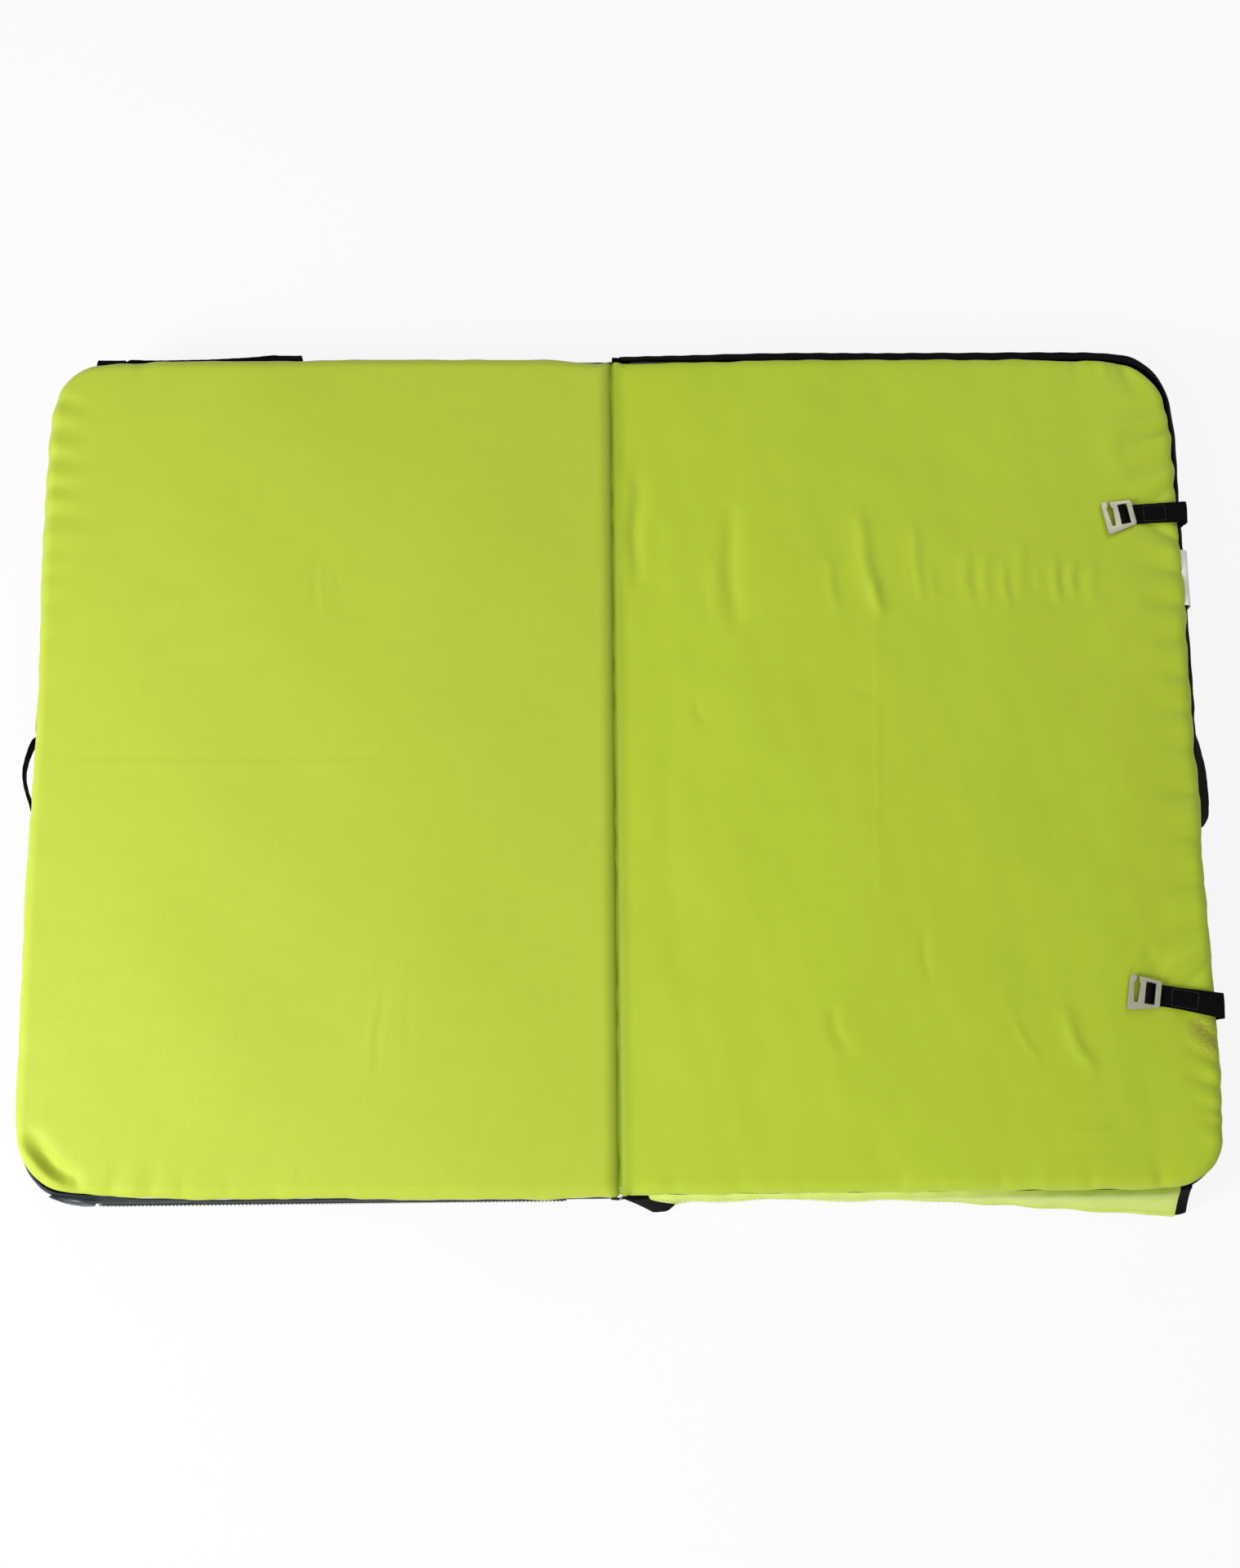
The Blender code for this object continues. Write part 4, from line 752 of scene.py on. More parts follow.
def rim_point(half, share):
    """A place on the seam, anticlockwise from the middle of the fold side, and the way out of it."""
    wide, long = HALF_WIDE, HALF_LONG
    middle_x = (EDGE + FOLD_CLEARANCE) / 2
    run = (share % 1.0) * SEAM_LENGTH
    corners = ((-1, -1, FOLD_CORNER), (1, -1, OUTER_CORNER), (1, 1, OUTER_CORNER),
               (-1, 1, FOLD_CORNER))
    straights = (
        (long / 2 - FOLD_CORNER, (0, -1)),
        (wide - FOLD_CORNER - OUTER_CORNER, (1, 0)),
        (long - 2 * OUTER_CORNER, (0, 1)),
        (wide - FOLD_CORNER - OUTER_CORNER, (-1, 0)),
        (long / 2 - FOLD_CORNER, (0, -1)),
    )
    starts = (
        (-wide / 2, 0.0),
        (-wide / 2 + FOLD_CORNER, -long / 2),
        (wide / 2, -long / 2 + OUTER_CORNER),
        (wide / 2 - OUTER_CORNER, long / 2),
        (-wide / 2, long / 2 - FOLD_CORNER),
    )
    for i, (length, (along_x, along_y)) in enumerate(straights):
        if run <= length or i == 4:
            x = starts[i][0] + along_x * run
            y = starts[i][1] + along_y * run
            normal_x, normal_y = along_y, -along_x
            break
        run -= length
        sign_x, sign_y, radius = corners[i]
        turn = radius * math.pi / 2
        if run <= turn:
            angle = math.atan2(-along_x, along_y) + run / radius
            normal_x, normal_y = math.cos(angle), math.sin(angle)
            x = sign_x * (wide / 2 - radius) + radius * normal_x
            y = sign_y * (long / 2 - radius) + radius * normal_y
            break
        run -= turn
    x += middle_x
    if half == "left":
        x, normal_x = -x, -normal_x
    y += MIDDLE_Y
    pull = float(corner_pull(half, x, y, 0)) + FAR_SEAM_IN[half] * max(0, normal_y) ** 2
    if half == "left":
        pull -= min(0, float(rim_shift(half, "outer", y))) * min(0, normal_x) ** 2
    return x - normal_x * pull, y - normal_y * pull, normal_x, normal_y


def seam_place(half, share):
    """A place on the seam with the way out of it, the weights of its sides and its level."""
    x, y, normal_x, normal_y = rim_point(half, share)
    weights = side_weights(np.float64(normal_x), np.float64(normal_y), WAY[half])
    return x, y, normal_x, normal_y, weights, RIM_LEVEL - float(by_side(SEAM_DROP[half], weights))


RIPPLE_WAVES = 9


def ripple(x, y, seed, wavelength):
    """Smooth unevenness from a few crossing waves, about one in size."""
    rolls = np.random.RandomState(seed).uniform(0, 1, (RIPPLE_WAVES, 3))
    total = 0.0
    for turn, stretch, shift in rolls:
        pace = math.tau / (wavelength * (0.6 + 0.9 * stretch))
        across = x * math.cos(math.tau * turn) + y * math.sin(math.tau * turn)
        total = total + np.sin(pace * across + math.tau * shift)
    return total / math.sqrt(RIPPLE_WAVES / 2)


# ---------------------------------------------------------------- landing covers

# Wrinkles of the landing faces: where each starts and ends, half its width, and its height in mm
WRINKLES = {
    "right": (
        (0.285, 0.305, 0.309, 0.165, 0.0092, 2.5), (0.299, 0.215, 0.312, 0.168, 0.006, 1.3),
        (0.278, 0.25, 0.29, 0.19, 0.0035, 0.35), (0.3515, 0.292, 0.359, 0.178, 0.0056, 1.2),
        (0.343, 0.262, 0.3455, 0.188, 0.0026, 0.35), (0.37, 0.23, 0.376, 0.185, 0.005, 0.5),
        (0.25, 0.243, 0.26, 0.17, 0.006, 1.1), (0.306, 0.18, 0.296, -0.19, 0.0026, 0.35),
        (0.268, 0.086, 0.304, 0.073, 0.003, -0.6), (0.137, 0.31, 0.139, 0.15, 0.01, -2.2),
        (0.118, 0.24, 0.12, 0.16, 0.009, 0.7), (0.018, 0.36, 0.0165, 0.2, 0.0056, 1.4),
        (0.03, 0.35, 0.026, 0.205, 0.0085, -2.2), (0.052, 0.3, 0.05, 0.18, 0.012, -0.6),
        (0.411, 0.252, 0.415, 0.18, 0.0066, 0.9), (0.424, 0.236, 0.424, 0.196, 0.0045, -0.5),
        (0.437, 0.246, 0.434, 0.184, 0.005, 0.9), (0.457, 0.238, 0.46, 0.176, 0.0048, 1.1),
        (0.48, 0.262, 0.476, 0.186, 0.008, 1.0), (0.498, 0.228, 0.499, 0.2, 0.0038, 0.5),
        (0.518, 0.246, 0.52, 0.182, 0.005, 1.0), (0.529, 0.23, 0.527, 0.196, 0.004, -0.5),
        (0.54, 0.24, 0.538, 0.19, 0.0052, 1.2), (0.56, 0.236, 0.563, 0.178, 0.007, 0.8),
        (0.438, -0.296, 0.468, -0.35, 0.0042, 0.8), (0.426, -0.262, 0.442, -0.3, 0.008, 0.5),
        (0.494, -0.284, 0.53, -0.366, 0.0084, 1.5), (0.505, -0.3, 0.536, -0.352, 0.0036, -0.4),
        (0.233, -0.28, 0.254, -0.342, 0.007, -0.9), (0.343, -0.2, 0.349, -0.262, 0.004, -0.7),
        (0.09, 0.075, 0.101, 0.04, 0.0045, -0.6), (0.45, -0.448, 0.595, -0.445, 0.0036, -0.6),
        (0.488, -0.427, 0.55, -0.423, 0.0045, 0.5), (0.59, -0.232, 0.625, -0.242, 0.012, -1.3),
        (0.6, 0.372, 0.64, 0.35, 0.012, -0.8), (0.06, 0.1, 0.062, -0.25, 0.014, -0.5),
        (0.59, 0.42, 0.625, 0.34, 0.022, 1.2),
    ),
    "left": (
        (-0.349, 0.245, -0.345, 0.168, 0.003, -0.45), (-0.344, 0.245, -0.34, 0.168, 0.003, 0.35),
        (-0.324, 0.232, -0.322, 0.204, 0.0028, -0.45), (-0.262, -0.25, -0.273, -0.366, 0.005, -0.45),
        (-0.268, -0.25, -0.279, -0.37, 0.005, 0.4), (-0.234, -0.255, -0.234, -0.342, 0.004, -0.3),
        (-0.66, 0.006, -0.2, 0.003, 0.005, -0.3), (-0.66, 0.0, -0.2, -0.003, 0.005, 0.25),
        (-0.66, -0.408, -0.588, -0.476, 0.009, -4.8), (-0.642, -0.43, -0.602, -0.466, 0.006, -2.2),
        (-0.668, -0.42, -0.6, -0.484, 0.0048, 2.8), (-0.6, -0.455, -0.588, -0.481, 0.0032, -1.2),
        (-0.351, -0.45, -0.349, -0.47, 0.0022, -0.6), (-0.56, 0.33, -0.42, 0.28, 0.02, 0.35),
        (-0.6, 0.26, -0.47, 0.2, 0.018, -0.35),
    ),
}
# Puckers that run in from each rim: the place along it, the slant, length, half width, height in mm
PUCKERS = {
    "left": {
        "outer": (
            (0.448, -0.3, 0.07, 0.0075, -2.6), (0.428, -0.15, 0.055, 0.0065, 1.4),
            (0.41, -0.2, 0.062, 0.008, -2.4), (0.388, -0.1, 0.056, 0.0065, 1.6),
            (0.372, -0.15, 0.07, 0.0075, -2.2), (0.351, -0.05, 0.05, 0.006, 1.4),
            (0.336, -0.1, 0.062, 0.0065, -1.9), (0.318, 0.0, 0.05, 0.006, 1.2),
            (0.3, -0.05, 0.072, 0.0075, -1.9), (0.276, 0.05, 0.056, 0.0065, 1.2),
            (0.256, 0.0, 0.048, 0.0065, -1.4), (0.226, 0.05, 0.056, 0.0075, -1.3),
            (0.19, 0.05, 0.048, 0.0075, -1.1), (0.15, 0.0, 0.04, 0.008, -0.9),
            (0.09, 0.0, 0.036, 0.0085, -0.8), (0.03, 0.0, 0.034, 0.0085, -0.7),
            (-0.06, 0.0, 0.036, 0.009, -0.8), (-0.15, 0.05, 0.034, 0.009, -0.7),
            (-0.24, 0.0, 0.034, 0.009, -0.7), (-0.33, 0.1, 0.04, 0.009, -0.9),
        ),
        "near": (
            (-0.56, 0.3, 0.055, 0.006, -1.8), (-0.535, 0.2, 0.045, 0.0055, 1.0),
            (-0.515, 0.15, 0.048, 0.006, -1.5), (-0.48, 0.1, 0.04, 0.0055, -1.1),
            (-0.43, 0.05, 0.034, 0.0055, -0.8), (-0.38, 0.0, 0.03, 0.0055, -0.8),
            (-0.3, 0.0, 0.026, 0.0055, -0.6), (-0.2, 0.0, 0.024, 0.0055, -0.5),
            (-0.09, 0.0, 0.024, 0.0055, -0.5),
        ),
        "far": (
            (-0.56, -0.2, 0.04, 0.0065, -1.2), (-0.47, 0.0, 0.026, 0.0065, -0.5),
            (-0.3, 0.0, 0.022, 0.0065, -0.4), (-0.15, 0.0, 0.022, 0.0065, -0.4),
        ),
    },
    "right": {
        "outer": (
            (0.432, -0.25, 0.06, 0.006, -2.4), (0.408, -0.3, 0.085, 0.007, -4.6),
            (0.392, -0.15, 0.06, 0.0055, 2.4), (0.368, -0.4, 0.075, 0.006, -3.6),
            (0.35, -0.5, 0.08, 0.006, 2.6), (0.333, -0.7, 0.07, 0.005, -3.0),
            (0.262, 0.6, 0.07, 0.0055, -2.8), (0.246, 0.3, 0.07, 0.006, 2.0),
            (0.224, 0.12, 0.06, 0.006, -3.0), (0.204, 0.0, 0.045, 0.0055, 1.6),
            (0.184, 0.05, 0.06, 0.0062, -3.2), (0.163, 0.0, 0.045, 0.0055, 1.8),
            (0.142, -0.05, 0.06, 0.0062, -2.8), (0.118, 0.0, 0.04, 0.006, 1.2),
            (0.095, 0.1, 0.055, 0.0064, -2.4), (0.055, 0.0, 0.06, 0.0068, -2.8),
            (0.032, 0.0, 0.04, 0.006, 1.2), (0.01, 0.05, 0.045, 0.006, -1.8),
            (-0.042, 0.0, 0.06, 0.0068, -2.8), (-0.068, 0.0, 0.04, 0.006, 1.4),
            (-0.096, 0.05, 0.05, 0.006, -2.2), (-0.124, 0.0, 0.04, 0.0055, 1.4),
            (-0.148, -0.15, 0.055, 0.0058, -2.6), (-0.172, -0.2, 0.048, 0.005, 1.8),
            (-0.194, -0.35, 0.07, 0.0058, -3.0), (-0.216, -0.5, 0.075, 0.0055, 2.4),
            (-0.238, -0.75, 0.062, 0.005, -2.6), (-0.322, 0.7, 0.05, 0.0042, -2.2),
            (-0.337, 0.5, 0.044, 0.004, 1.8), (-0.35, 0.45, 0.046, 0.004, -2.4),
            (-0.363, 0.35, 0.036, 0.0038, 1.8), (-0.377, 0.3, 0.044, 0.004, -2.6),
            (-0.392, 0.25, 0.034, 0.004, 1.6), (-0.404, 0.2, 0.038, 0.004, -2.2),
            (-0.421, 0.25, 0.036, 0.0042, -2.2), (-0.438, 0.3, 0.034, 0.0045, 1.4),
        ),
        "far": (
            (0.612, 0.35, 0.06, 0.0065, -2.8), (0.59, 0.2, 0.055, 0.0055, 1.6),
            (0.56, 0.1, 0.045, 0.006, -1.6), (0.5, 0.0, 0.03, 0.0065, -0.8),
            (0.4, 0.0, 0.024, 0.0065, -0.6), (0.28, 0.0, 0.024, 0.007, -0.6),
            (0.17, 0.0, 0.022, 0.0065, -0.5),
        ),
        "near": (
            (0.6, -0.15, 0.045, 0.006, -1.6), (0.52, -0.05, 0.038, 0.006, -1.2),
            (0.47, 0.0, 0.03, 0.006, 0.7), (0.42, 0.0, 0.034, 0.006, -1.1),
            (0.35, 0.0, 0.028, 0.006, -0.8), (0.31, 0.0, 0.034, 0.006, -1.0),
            (0.2, 0.0, 0.03, 0.006, -0.9), (0.13, 0.0, 0.026, 0.006, -0.7),
            (0.06, 0.0, 0.028, 0.006, -0.8),
        ),
    },
}
RELIEF_GAIN = {"left": 1.05, "right": 1.40}
# Unevenness of the landing faces: how high it is, over what length, and the seed of its waves
UNEVEN = {
    "left": ((0.00035, 0.24, 3), (0.00007, 0.055, 5)),
    "right": ((0.00060, 0.24, 4), (0.00014, 0.055, 6)),
}
DRAWN_IN = {"left": 0.35, "right": 0.10}  # share of a pucker's height by which the hem moves too
STRAP_DENT, STRAP_DENT_REACH = 0.0022, (0.050, 0.032)  # where the straps press on the right cover
FOLD_CALM = 0.040  # nothing stands up nearer to the fold than this, so that the halves can close
UNROLLED = 0.012  # how much further the flat cover reaches than its seam, once it lies over the rim
SKIRT = 0.004


def wrinkle(x, y, start_x, start_y, end_x, end_y, width, height):
    length = math.hypot(end_x - start_x, end_y - start_y)
    way_x, way_y = (end_x - start_x) / length, (end_y - start_y) / length
    along = ((x - start_x) * way_x + (y - start_y) * way_y) / length
    off = (x - start_x) * way_y - (y - start_y) * way_x
    off = off + 0.25 * width * np.sin(9.0 * along)
    fade = np.clip(4 * along * (1 - along), 0, 1) ** 0.8
    return height * 1e-3 * fade * np.exp(-((off / width) ** 2))


def pucker(x, y, side, place, slant, length, width, height):
    """A short pucker, deepest at the rim."""
    if side in ("outer", "fold"):
        inward = EDGE - np.abs(x)
        along = y
    else:
        inward = (FAR_EDGE - y) if side == "far" else (y - NEAR_EDGE)
        along = x
    off = along - place - slant * np.maximum(inward, 0)
    fade = np.clip(1 - inward / length, 0, 1) ** 1.3
    wide = width * (1 + 0.7 * np.clip(inward / length, 0, 1))
    return height * 1e-3 * fade * np.exp(-((off / wide) ** 2))


def puckers_of(half, x, y):
    """How far each pucker of a half stands off the smooth face."""
    for side, rows in PUCKERS[half].items():
        for row in rows:
            yield pucker(x, y, side, *row)


def relief_of(half, x, y):
    """How far the landing face stands off its smooth crown."""
    lift = sum(high * ripple(x, y, seed, length) for high, length, seed in UNEVEN[half])
    gain = RELIEF_GAIN[half]
    for row in WRINKLES[half]:
        lift = lift + gain * wrinkle(x, y, *row)
    for stands in puckers_of(half, x, y):
        lift = lift + gain * stands
    lift = np.where(lift > 0, lift * np.clip(np.abs(x) / FOLD_CALM, 0, 1), lift)
    if half == "right":
        for place in STRAP_PLACES.values():
            away = np.hypot((x - EDGE) / STRAP_DENT_REACH[0], (y - place) / STRAP_DENT_REACH[1])
            lift = lift - STRAP_DENT * np.exp(-(away**2))
    return lift


def rim_pull(half, x, y, weights):
    """How far the hem is drawn in at the corners, beside the fold and where the rim is uneven."""
    depth, reach = FOLD_HEM_PULL[half]
    share = np.clip(1 - (np.abs(x) - 0.005) / reach, 0, 1)
    pull = corner_pull(half, x, y, 1) * (1 - weights["fold"])
    pull = pull + weights["far"] * (FAR_SEAM_IN[half] + depth * eased(share))
    for side in ("outer", "near", "far"):
        pull = pull - weights[side] * rim_shift(half, side, y if side == "outer" else x)
    return pull


def make_landing_cover(half):
    """A crowned cushion top: flat cloth laid over a rounded rim, with its wrinkles and puckers."""
    way = WAY[half]
    wide, long = HALF_WIDE + 2 * UNROLLED, HALF_LONG + 2 * UNROLLED
    columns, rows = int(wide / GRAIN), int(long / GRAIN)
    shape = patch(columns, rows, (wide, long), lambda u, v: Vector((u, v, 0)))
    rim = [edge for edge in shape.edges if edge.is_boundary]
    made = bmesh.ops.extrude_edge_only(shape, edges=rim)["geom"]
    floor_points = [part for part in made if isinstance(part, bmesh.types.BMVert)]
    floor_edges = [part for part in made if isinstance(part, bmesh.types.BMEdge)]
    for point in floor_points:
        point.co.z = -1
    bmesh.ops.edgeloop_fill(shape, edges=floor_edges)
    name = half + "_landing_pad"
    bmesh.ops.recalc_face_normals(shape, faces=shape.faces)
    data = mesh_of(name, shape)

    spots = np.empty(len(data.vertices) * 3)
    data.vertices.foreach_get("co", spots)
    spots = spots.reshape(-1, 3)
    under = spots[:, 2] < -0.5
    middle_x = way * (EDGE + FOLD_CLEARANCE) / 2
    x = (spots[:, 0] - 0.5) * wide
    y = (spots[:, 1] - 0.5) * long
    radius = np.where(x * way > 0, OUTER_CORNER, FOLD_CORNER) + UNROLLED
    past_x = np.maximum((np.abs(x) - (wide / 2 - radius)) / radius, 0)
    past_y = np.maximum((np.abs(y) - (long / 2 - radius)) / radius, 0)
    corner = (past_x > 0) & (past_y > 0)
    far_fold_corner = corner & (x * way < 0) & (y > 0)
    round_x = past_x * np.sqrt(1 - past_y**2 / 2)
    round_y = past_y * np.sqrt(1 - past_x**2 / 2)
    x = np.where(corner, np.sign(x) * (wide / 2 - radius + radius * round_x), x)
    y = np.where(corner, np.sign(y) * (long / 2 - radius + radius * round_y), y)
    reach = np.hypot(round_x, round_y)
    gap_x, gap_y = wide / 2 - np.abs(x), long / 2 - np.abs(y)
    inside = np.where(corner, radius * (1 - reach), np.minimum(gap_x, gap_y))
    normal_x = np.where(corner, np.sign(x) * round_x / np.maximum(reach, 1e-9),
                        np.where(gap_x <= gap_y, np.sign(x), 0.0))
    normal_y = np.where(corner, np.sign(y) * round_y / np.maximum(reach, 1e-9),
                        np.where(gap_x <= gap_y, 0.0, np.sign(y)))
    weights = side_weights(normal_x, normal_y, way)
    rim_round = by_side(RIM_ROUND[half], weights)
    drop = by_side(SEAM_DROP[half], weights)
    turn_start, turn_end = SKIRT, UNROLLED + rim_round
    angle = np.clip((inside - turn_start) / (turn_end - turn_start), 0, 1) * math.pi / 2
    depth = np.where(inside < turn_end, rim_round * (1 - np.cos(angle)), inside - UNROLLED)
    level = RIM_LEVEL - drop * (1 - np.sin(angle)) - np.clip(SKIRT - inside, 0, SKIRT)
    inwards = inside - UNROLLED
    shift = inwards - depth
    x = x + middle_x + normal_x * shift
    y = y + MIDDLE_Y + normal_y * shift
    drawn = rim_pull(half, x, y, weights) * np.clip(1 - inside / HEM_REACH, 0, 1) ** 1.4
    x = x - normal_x * drawn
    y = y - normal_y * drawn
    hem = (FAR_SEAM_IN[half] + FOLD_HEM_PULL[half][0]) * (1 - weights["far"] * normal_y)
    y = y - np.where(far_fold_corner, hem, 0) * np.clip(1 - inside / HEM_REACH, 0, 1) ** 1.4
    from_fold = np.clip((np.abs(x) - FOLD_CLEARANCE) / CROWN_REACH, 0, 1)
    from_outer = np.clip((EDGE - np.abs(x)) / CROWN_REACH, 0, 1)
    from_near = np.clip((y - NEAR_EDGE) / CROWN_REACH, 0, 1)
    from_far = np.clip((FAR_EDGE - y) / CROWN_REACH, 0, 1)
    crown = eased(from_fold)
    for share in (from_outer, from_near, from_far):
        crown = crown * (1 - (1 - share) ** 2)
    top_share = np.sin(angle)
    level = level + (CROWN * crown + relief_of(half, x, y)) * (0.25 + 0.75 * top_share)
    waver = 0.0004 * ripple(x, y, 11, 0.045) * (1 - top_share) * (1 - 0.8 * weights["fold"])
    for stands in puckers_of(half, x, y):
        waver = waver + DRAWN_IN[half] * stands * (1 - 0.6 * top_share)
    waver = waver + COVER_MEETS * weights["fold"] * np.clip(1 - inwards / 0.040, 0, 1) ** 2
    x = x + normal_x * waver
    y = y + normal_y * waver
    level = np.where(under, RIM_LEVEL - drop - SKIRT - 0.0035, level)
    x = np.where(under, x - normal_x * 0.002, x)
    y = np.where(under, y - normal_y * 0.002, y)
    data.vertices.foreach_set("co", np.stack([x, y, level], 1).ravel())
    data.update()
    made = place_mesh(name, data, half + "_lime", half + "_half", "lime_cloth",
                      [half + "_landing_cover"], sharp=60)


# ---------------------------------------------------------------- walls, piping, bases, foam

def wall_lip(half, x, y, weights):
    """How far a wall's top stands out. The right cover hangs over its wall towards the near side."""
    lip = dict(WALL_LIP[half])
    lip["near"] += 0.8 * min(0, float(rim_shift(half, "near", x)))
    if half == "right":
        shown = clamped((y - BAND_ENDS_Y + 0.015) / 0.030)
        lip["outer"] = HIDDEN_LIP + (lip["outer"] - HIDDEN_LIP) * shown
    return float(by_side(lip, weights))


def wall_offset(half, x, y, height, weights):
    """How far a wall stands out of the seam at a share of its height."""
    swell = float(by_side(WALL_SWELL[half], weights))
    swell -= 0.0055 * float(weights["far"]) * max(0, 1 - abs(x) / 0.24) ** 1.5 * (half == "right")
    lip = wall_lip(half, x, y, weights)
    if lip < 0:
        swell = min(swell, 0.0035)
    foot, shoulder = 0.004, 0.92 if lip > 0 else 0.80
    if height < 0.10:
        return foot + (swell - foot) * eased(height / 0.10)
    if height > shoulder:
        part = (height - shoulder) / (1 - shoulder)
        return swell + (lip - swell) * part * part
    return swell + 0.0010 * math.sin(math.pi * (height - 0.10) / (shoulder - 0.10))


def handle_room(facts, away):
    """How deep a wall is held in behind a handle, at a distance from the handle's middle."""
    part = clamped((facts["length"] / 2 - 0.0170 - abs(away)) / 0.016)
    return facts["dent"] * eased(part)


def handle_dent(half, x, y, normal_x, normal_y, level):
    """How far a place on a wall is held in by the handles in front of it."""
    dent = 0.0
    for facts in HANDLES.values():
        out, along, middle = Vector(facts["out"]), Vector(facts["along"]), Vector(facts["middle"])
        if facts["wall"] == half + "_half" and normal_x * out.x + normal_y * out.y > 0.9:
            away = (Vector((x, y, 0)) - middle).dot(along)
            dent += handle_room(facts, away) * math.exp(-(((level - middle.z) / 0.026) ** 4))
    return dent


def make_side_wall(half, material, slot):
    """The sewn wall round a half, swelling out of the seam, with puckers under its upper seam."""
    def place(across, up):
        x, y, normal_x, normal_y, weights, seam = seam_place(half, across)
        run = across * SEAM_LENGTH
        out = wall_offset(half, x, y, up, weights)
        free = 4 * up * (1 - up)
        fold_side = float(weights["fold"])
        at_top, at_foot = math.exp(-((1 - up) / 0.22) ** 2), math.exp(-(up / 0.22) ** 2)
        puckers = 0.0003 * math.sin(run * 190 + 2 * math.sin(run * 23)) * at_top
        puckers += 0.0005 * math.sin(run * 150 + 3 * math.sin(run * 17)) * at_foot
        drape = 0.0008 * float(ripple(run, 3.0 * up * 0.1, 21, 0.16)) * free
        if half == "left":
            drape *= 1 - 0.8 * float(weights["near"])
        out += (puckers + drape) * (1 - 0.8 * fold_side)
        level = WALL_FOOT + (seam - WALL_FOOT) * up
        out -= handle_dent(half, x, y, normal_x, normal_y, level)
        return Vector((x + normal_x * out, y + normal_y * out, level))

    shape = thicken(patch(WALL_COLUMNS, 14, (SEAM_LENGTH, RIM_LEVEL), place, closed=True), 0.0012)
    made = finish_piece(half + "_wall_cloth", shape, material, half + "_half", slot,
                        [half + "_side_wall"])


def make_piping(half, material, slot):
    """The thin welt that is sewn between the landing cover and the wall."""
    def place(across, along):
        x, y, normal_x, normal_y, weights, seam = seam_place(half, along)
        angle = math.tau * across
        out = wall_lip(half, x, y, weights) - 0.0003 + PIPING_RADIUS * math.cos(angle)
        out += 0.0003 * math.sin(along * SEAM_LENGTH * 70)
        level = seam - 0.0006 + PIPING_RADIUS * math.sin(angle)
        return Vector((x + normal_x * out, y + normal_y * out, level))

    size = (math.tau * PIPING_RADIUS, SEAM_LENGTH)
    shape = patch(8, PIPING_COLUMNS, size, place, closed=True)
    bmesh.ops.recalc_face_normals(shape, faces=shape.faces)
    finish_piece(half + "_seam_piping", shape, material, half + "_half", slot)


def make_base(half):
    """The tough base cloth with its rounded rim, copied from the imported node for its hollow."""
    shape = draw_in(copy_of(half + "_base_cover"), half)
    soften(shape, 0.0008)
    map_flat(shape)
    finish_piece(half + "_base_cloth", shape, "base_cloth", half + "_half", "black_cloth",
                 [half + "_base_cover"], sharp=30)


def make_foams(half):
    """The three foam layers inside a half."""
    for node, material, slot in (
        ("landing_foam", "grey_foam", "closed_cell_foam"),
        ("foam_core", "pale_foam", "open_cell_foam"),
        ("base_foam", "grey_foam", "closed_cell_foam"),
    ):
        shape = draw_in(copy_of(f"{half}_{node}"), half)
        middle = Vector((WAY[half] * HALF_MIDDLE, MIDDLE_Y, 0))
        shares = (0.970, 0.970, 0.955) if node == "landing_foam" else (FOAM_SHARE, FOAM_SHARE, 1)
        shrink = Matrix.Translation(middle) @ Matrix.Diagonal((*shares, 1))
        bmesh.ops.transform(shape, matrix=shrink @ Matrix.Translation(-middle), verts=shape.verts)
        soften(shape, 0.0010, 2, 60)
        made = finish_piece(f"{half}_{node}_block", shape, material, half + "_half", slot,
                            [f"{half}_{node}"], sharp=30)


# ---------------------------------------------------------------- fold

TAPE_STEPS = 40
EAR_FOOT, EAR_HEIGHT, EAR_REACH = 0.050, 0.0430, 0.0098


def make_fold_tape():
    """The lime cloth that joins the halves, and at its ends a dark ear of each wall."""
    near, far = NEAR_EDGE + 0.0010, FAR_EDGE - 0.0082
    length = far - near
    profile = [
        (-0.0050, 0.0700), (-0.0050, 0.0780), (-0.0046, 0.0880), (-0.0034, 0.0928), (-0.0016, 0.0950),
        (0.0, 0.0948), (0.0016, 0.0950), (0.0034, 0.0928), (0.0046, 0.0880), (0.0050, 0.0780),
        (0.0050, 0.0700),
    ]
    path, run = smooth_path([(x, 0, z) for x, z in profile], TAPE_STEPS)

    def place(across, along):
        spot = path[int(round(across * TAPE_STEPS))]
        sag = 0.0006 * math.sin(along * length * 90 + 2 * math.sin(along * 31)) * math.exp(
            -((across - 0.5) / 0.18) ** 2)
        return Vector((spot.x, near + length * along, spot.z + sag))

    def ear_place(at, way):
        def spot_of(across, along):
            bulge = 0.0008 * math.cos(math.pi / 2 * across)
            out = -bulge if at < 0 else bulge
            lean = 0.0035 if at < 0 else -0.0020
            return Vector((way * (0.0002 + EAR_REACH * across), at + out + lean * along,
                           EAR_FOOT + EAR_HEIGHT * along))

        return spot_of

    shape = thicken(patch(TAPE_STEPS, 200, (run, length), place), 0.0008)
    tape = finish_piece("fold_tape", shape, "tape_lime_painted_shade", None, "lime_cloth",
                        ["fold_hinge_tape", "fold_hinge_sleeve"])
    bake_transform(tape)
    for name, half, at in (("near", "left", near - 0.0060), ("near", "right", near - 0.0060),
                           ("far", "left", far + 0.0066), ("far", "right", far + 0.0116)):
        ear = thicken(patch(6, 16, (EAR_REACH, EAR_HEIGHT), ear_place(at, WAY[half])), 0.0008)
        finish_piece(f"fold_{name}_ear_{half}", ear, "black_cloth", half + "_half", "black_cloth")


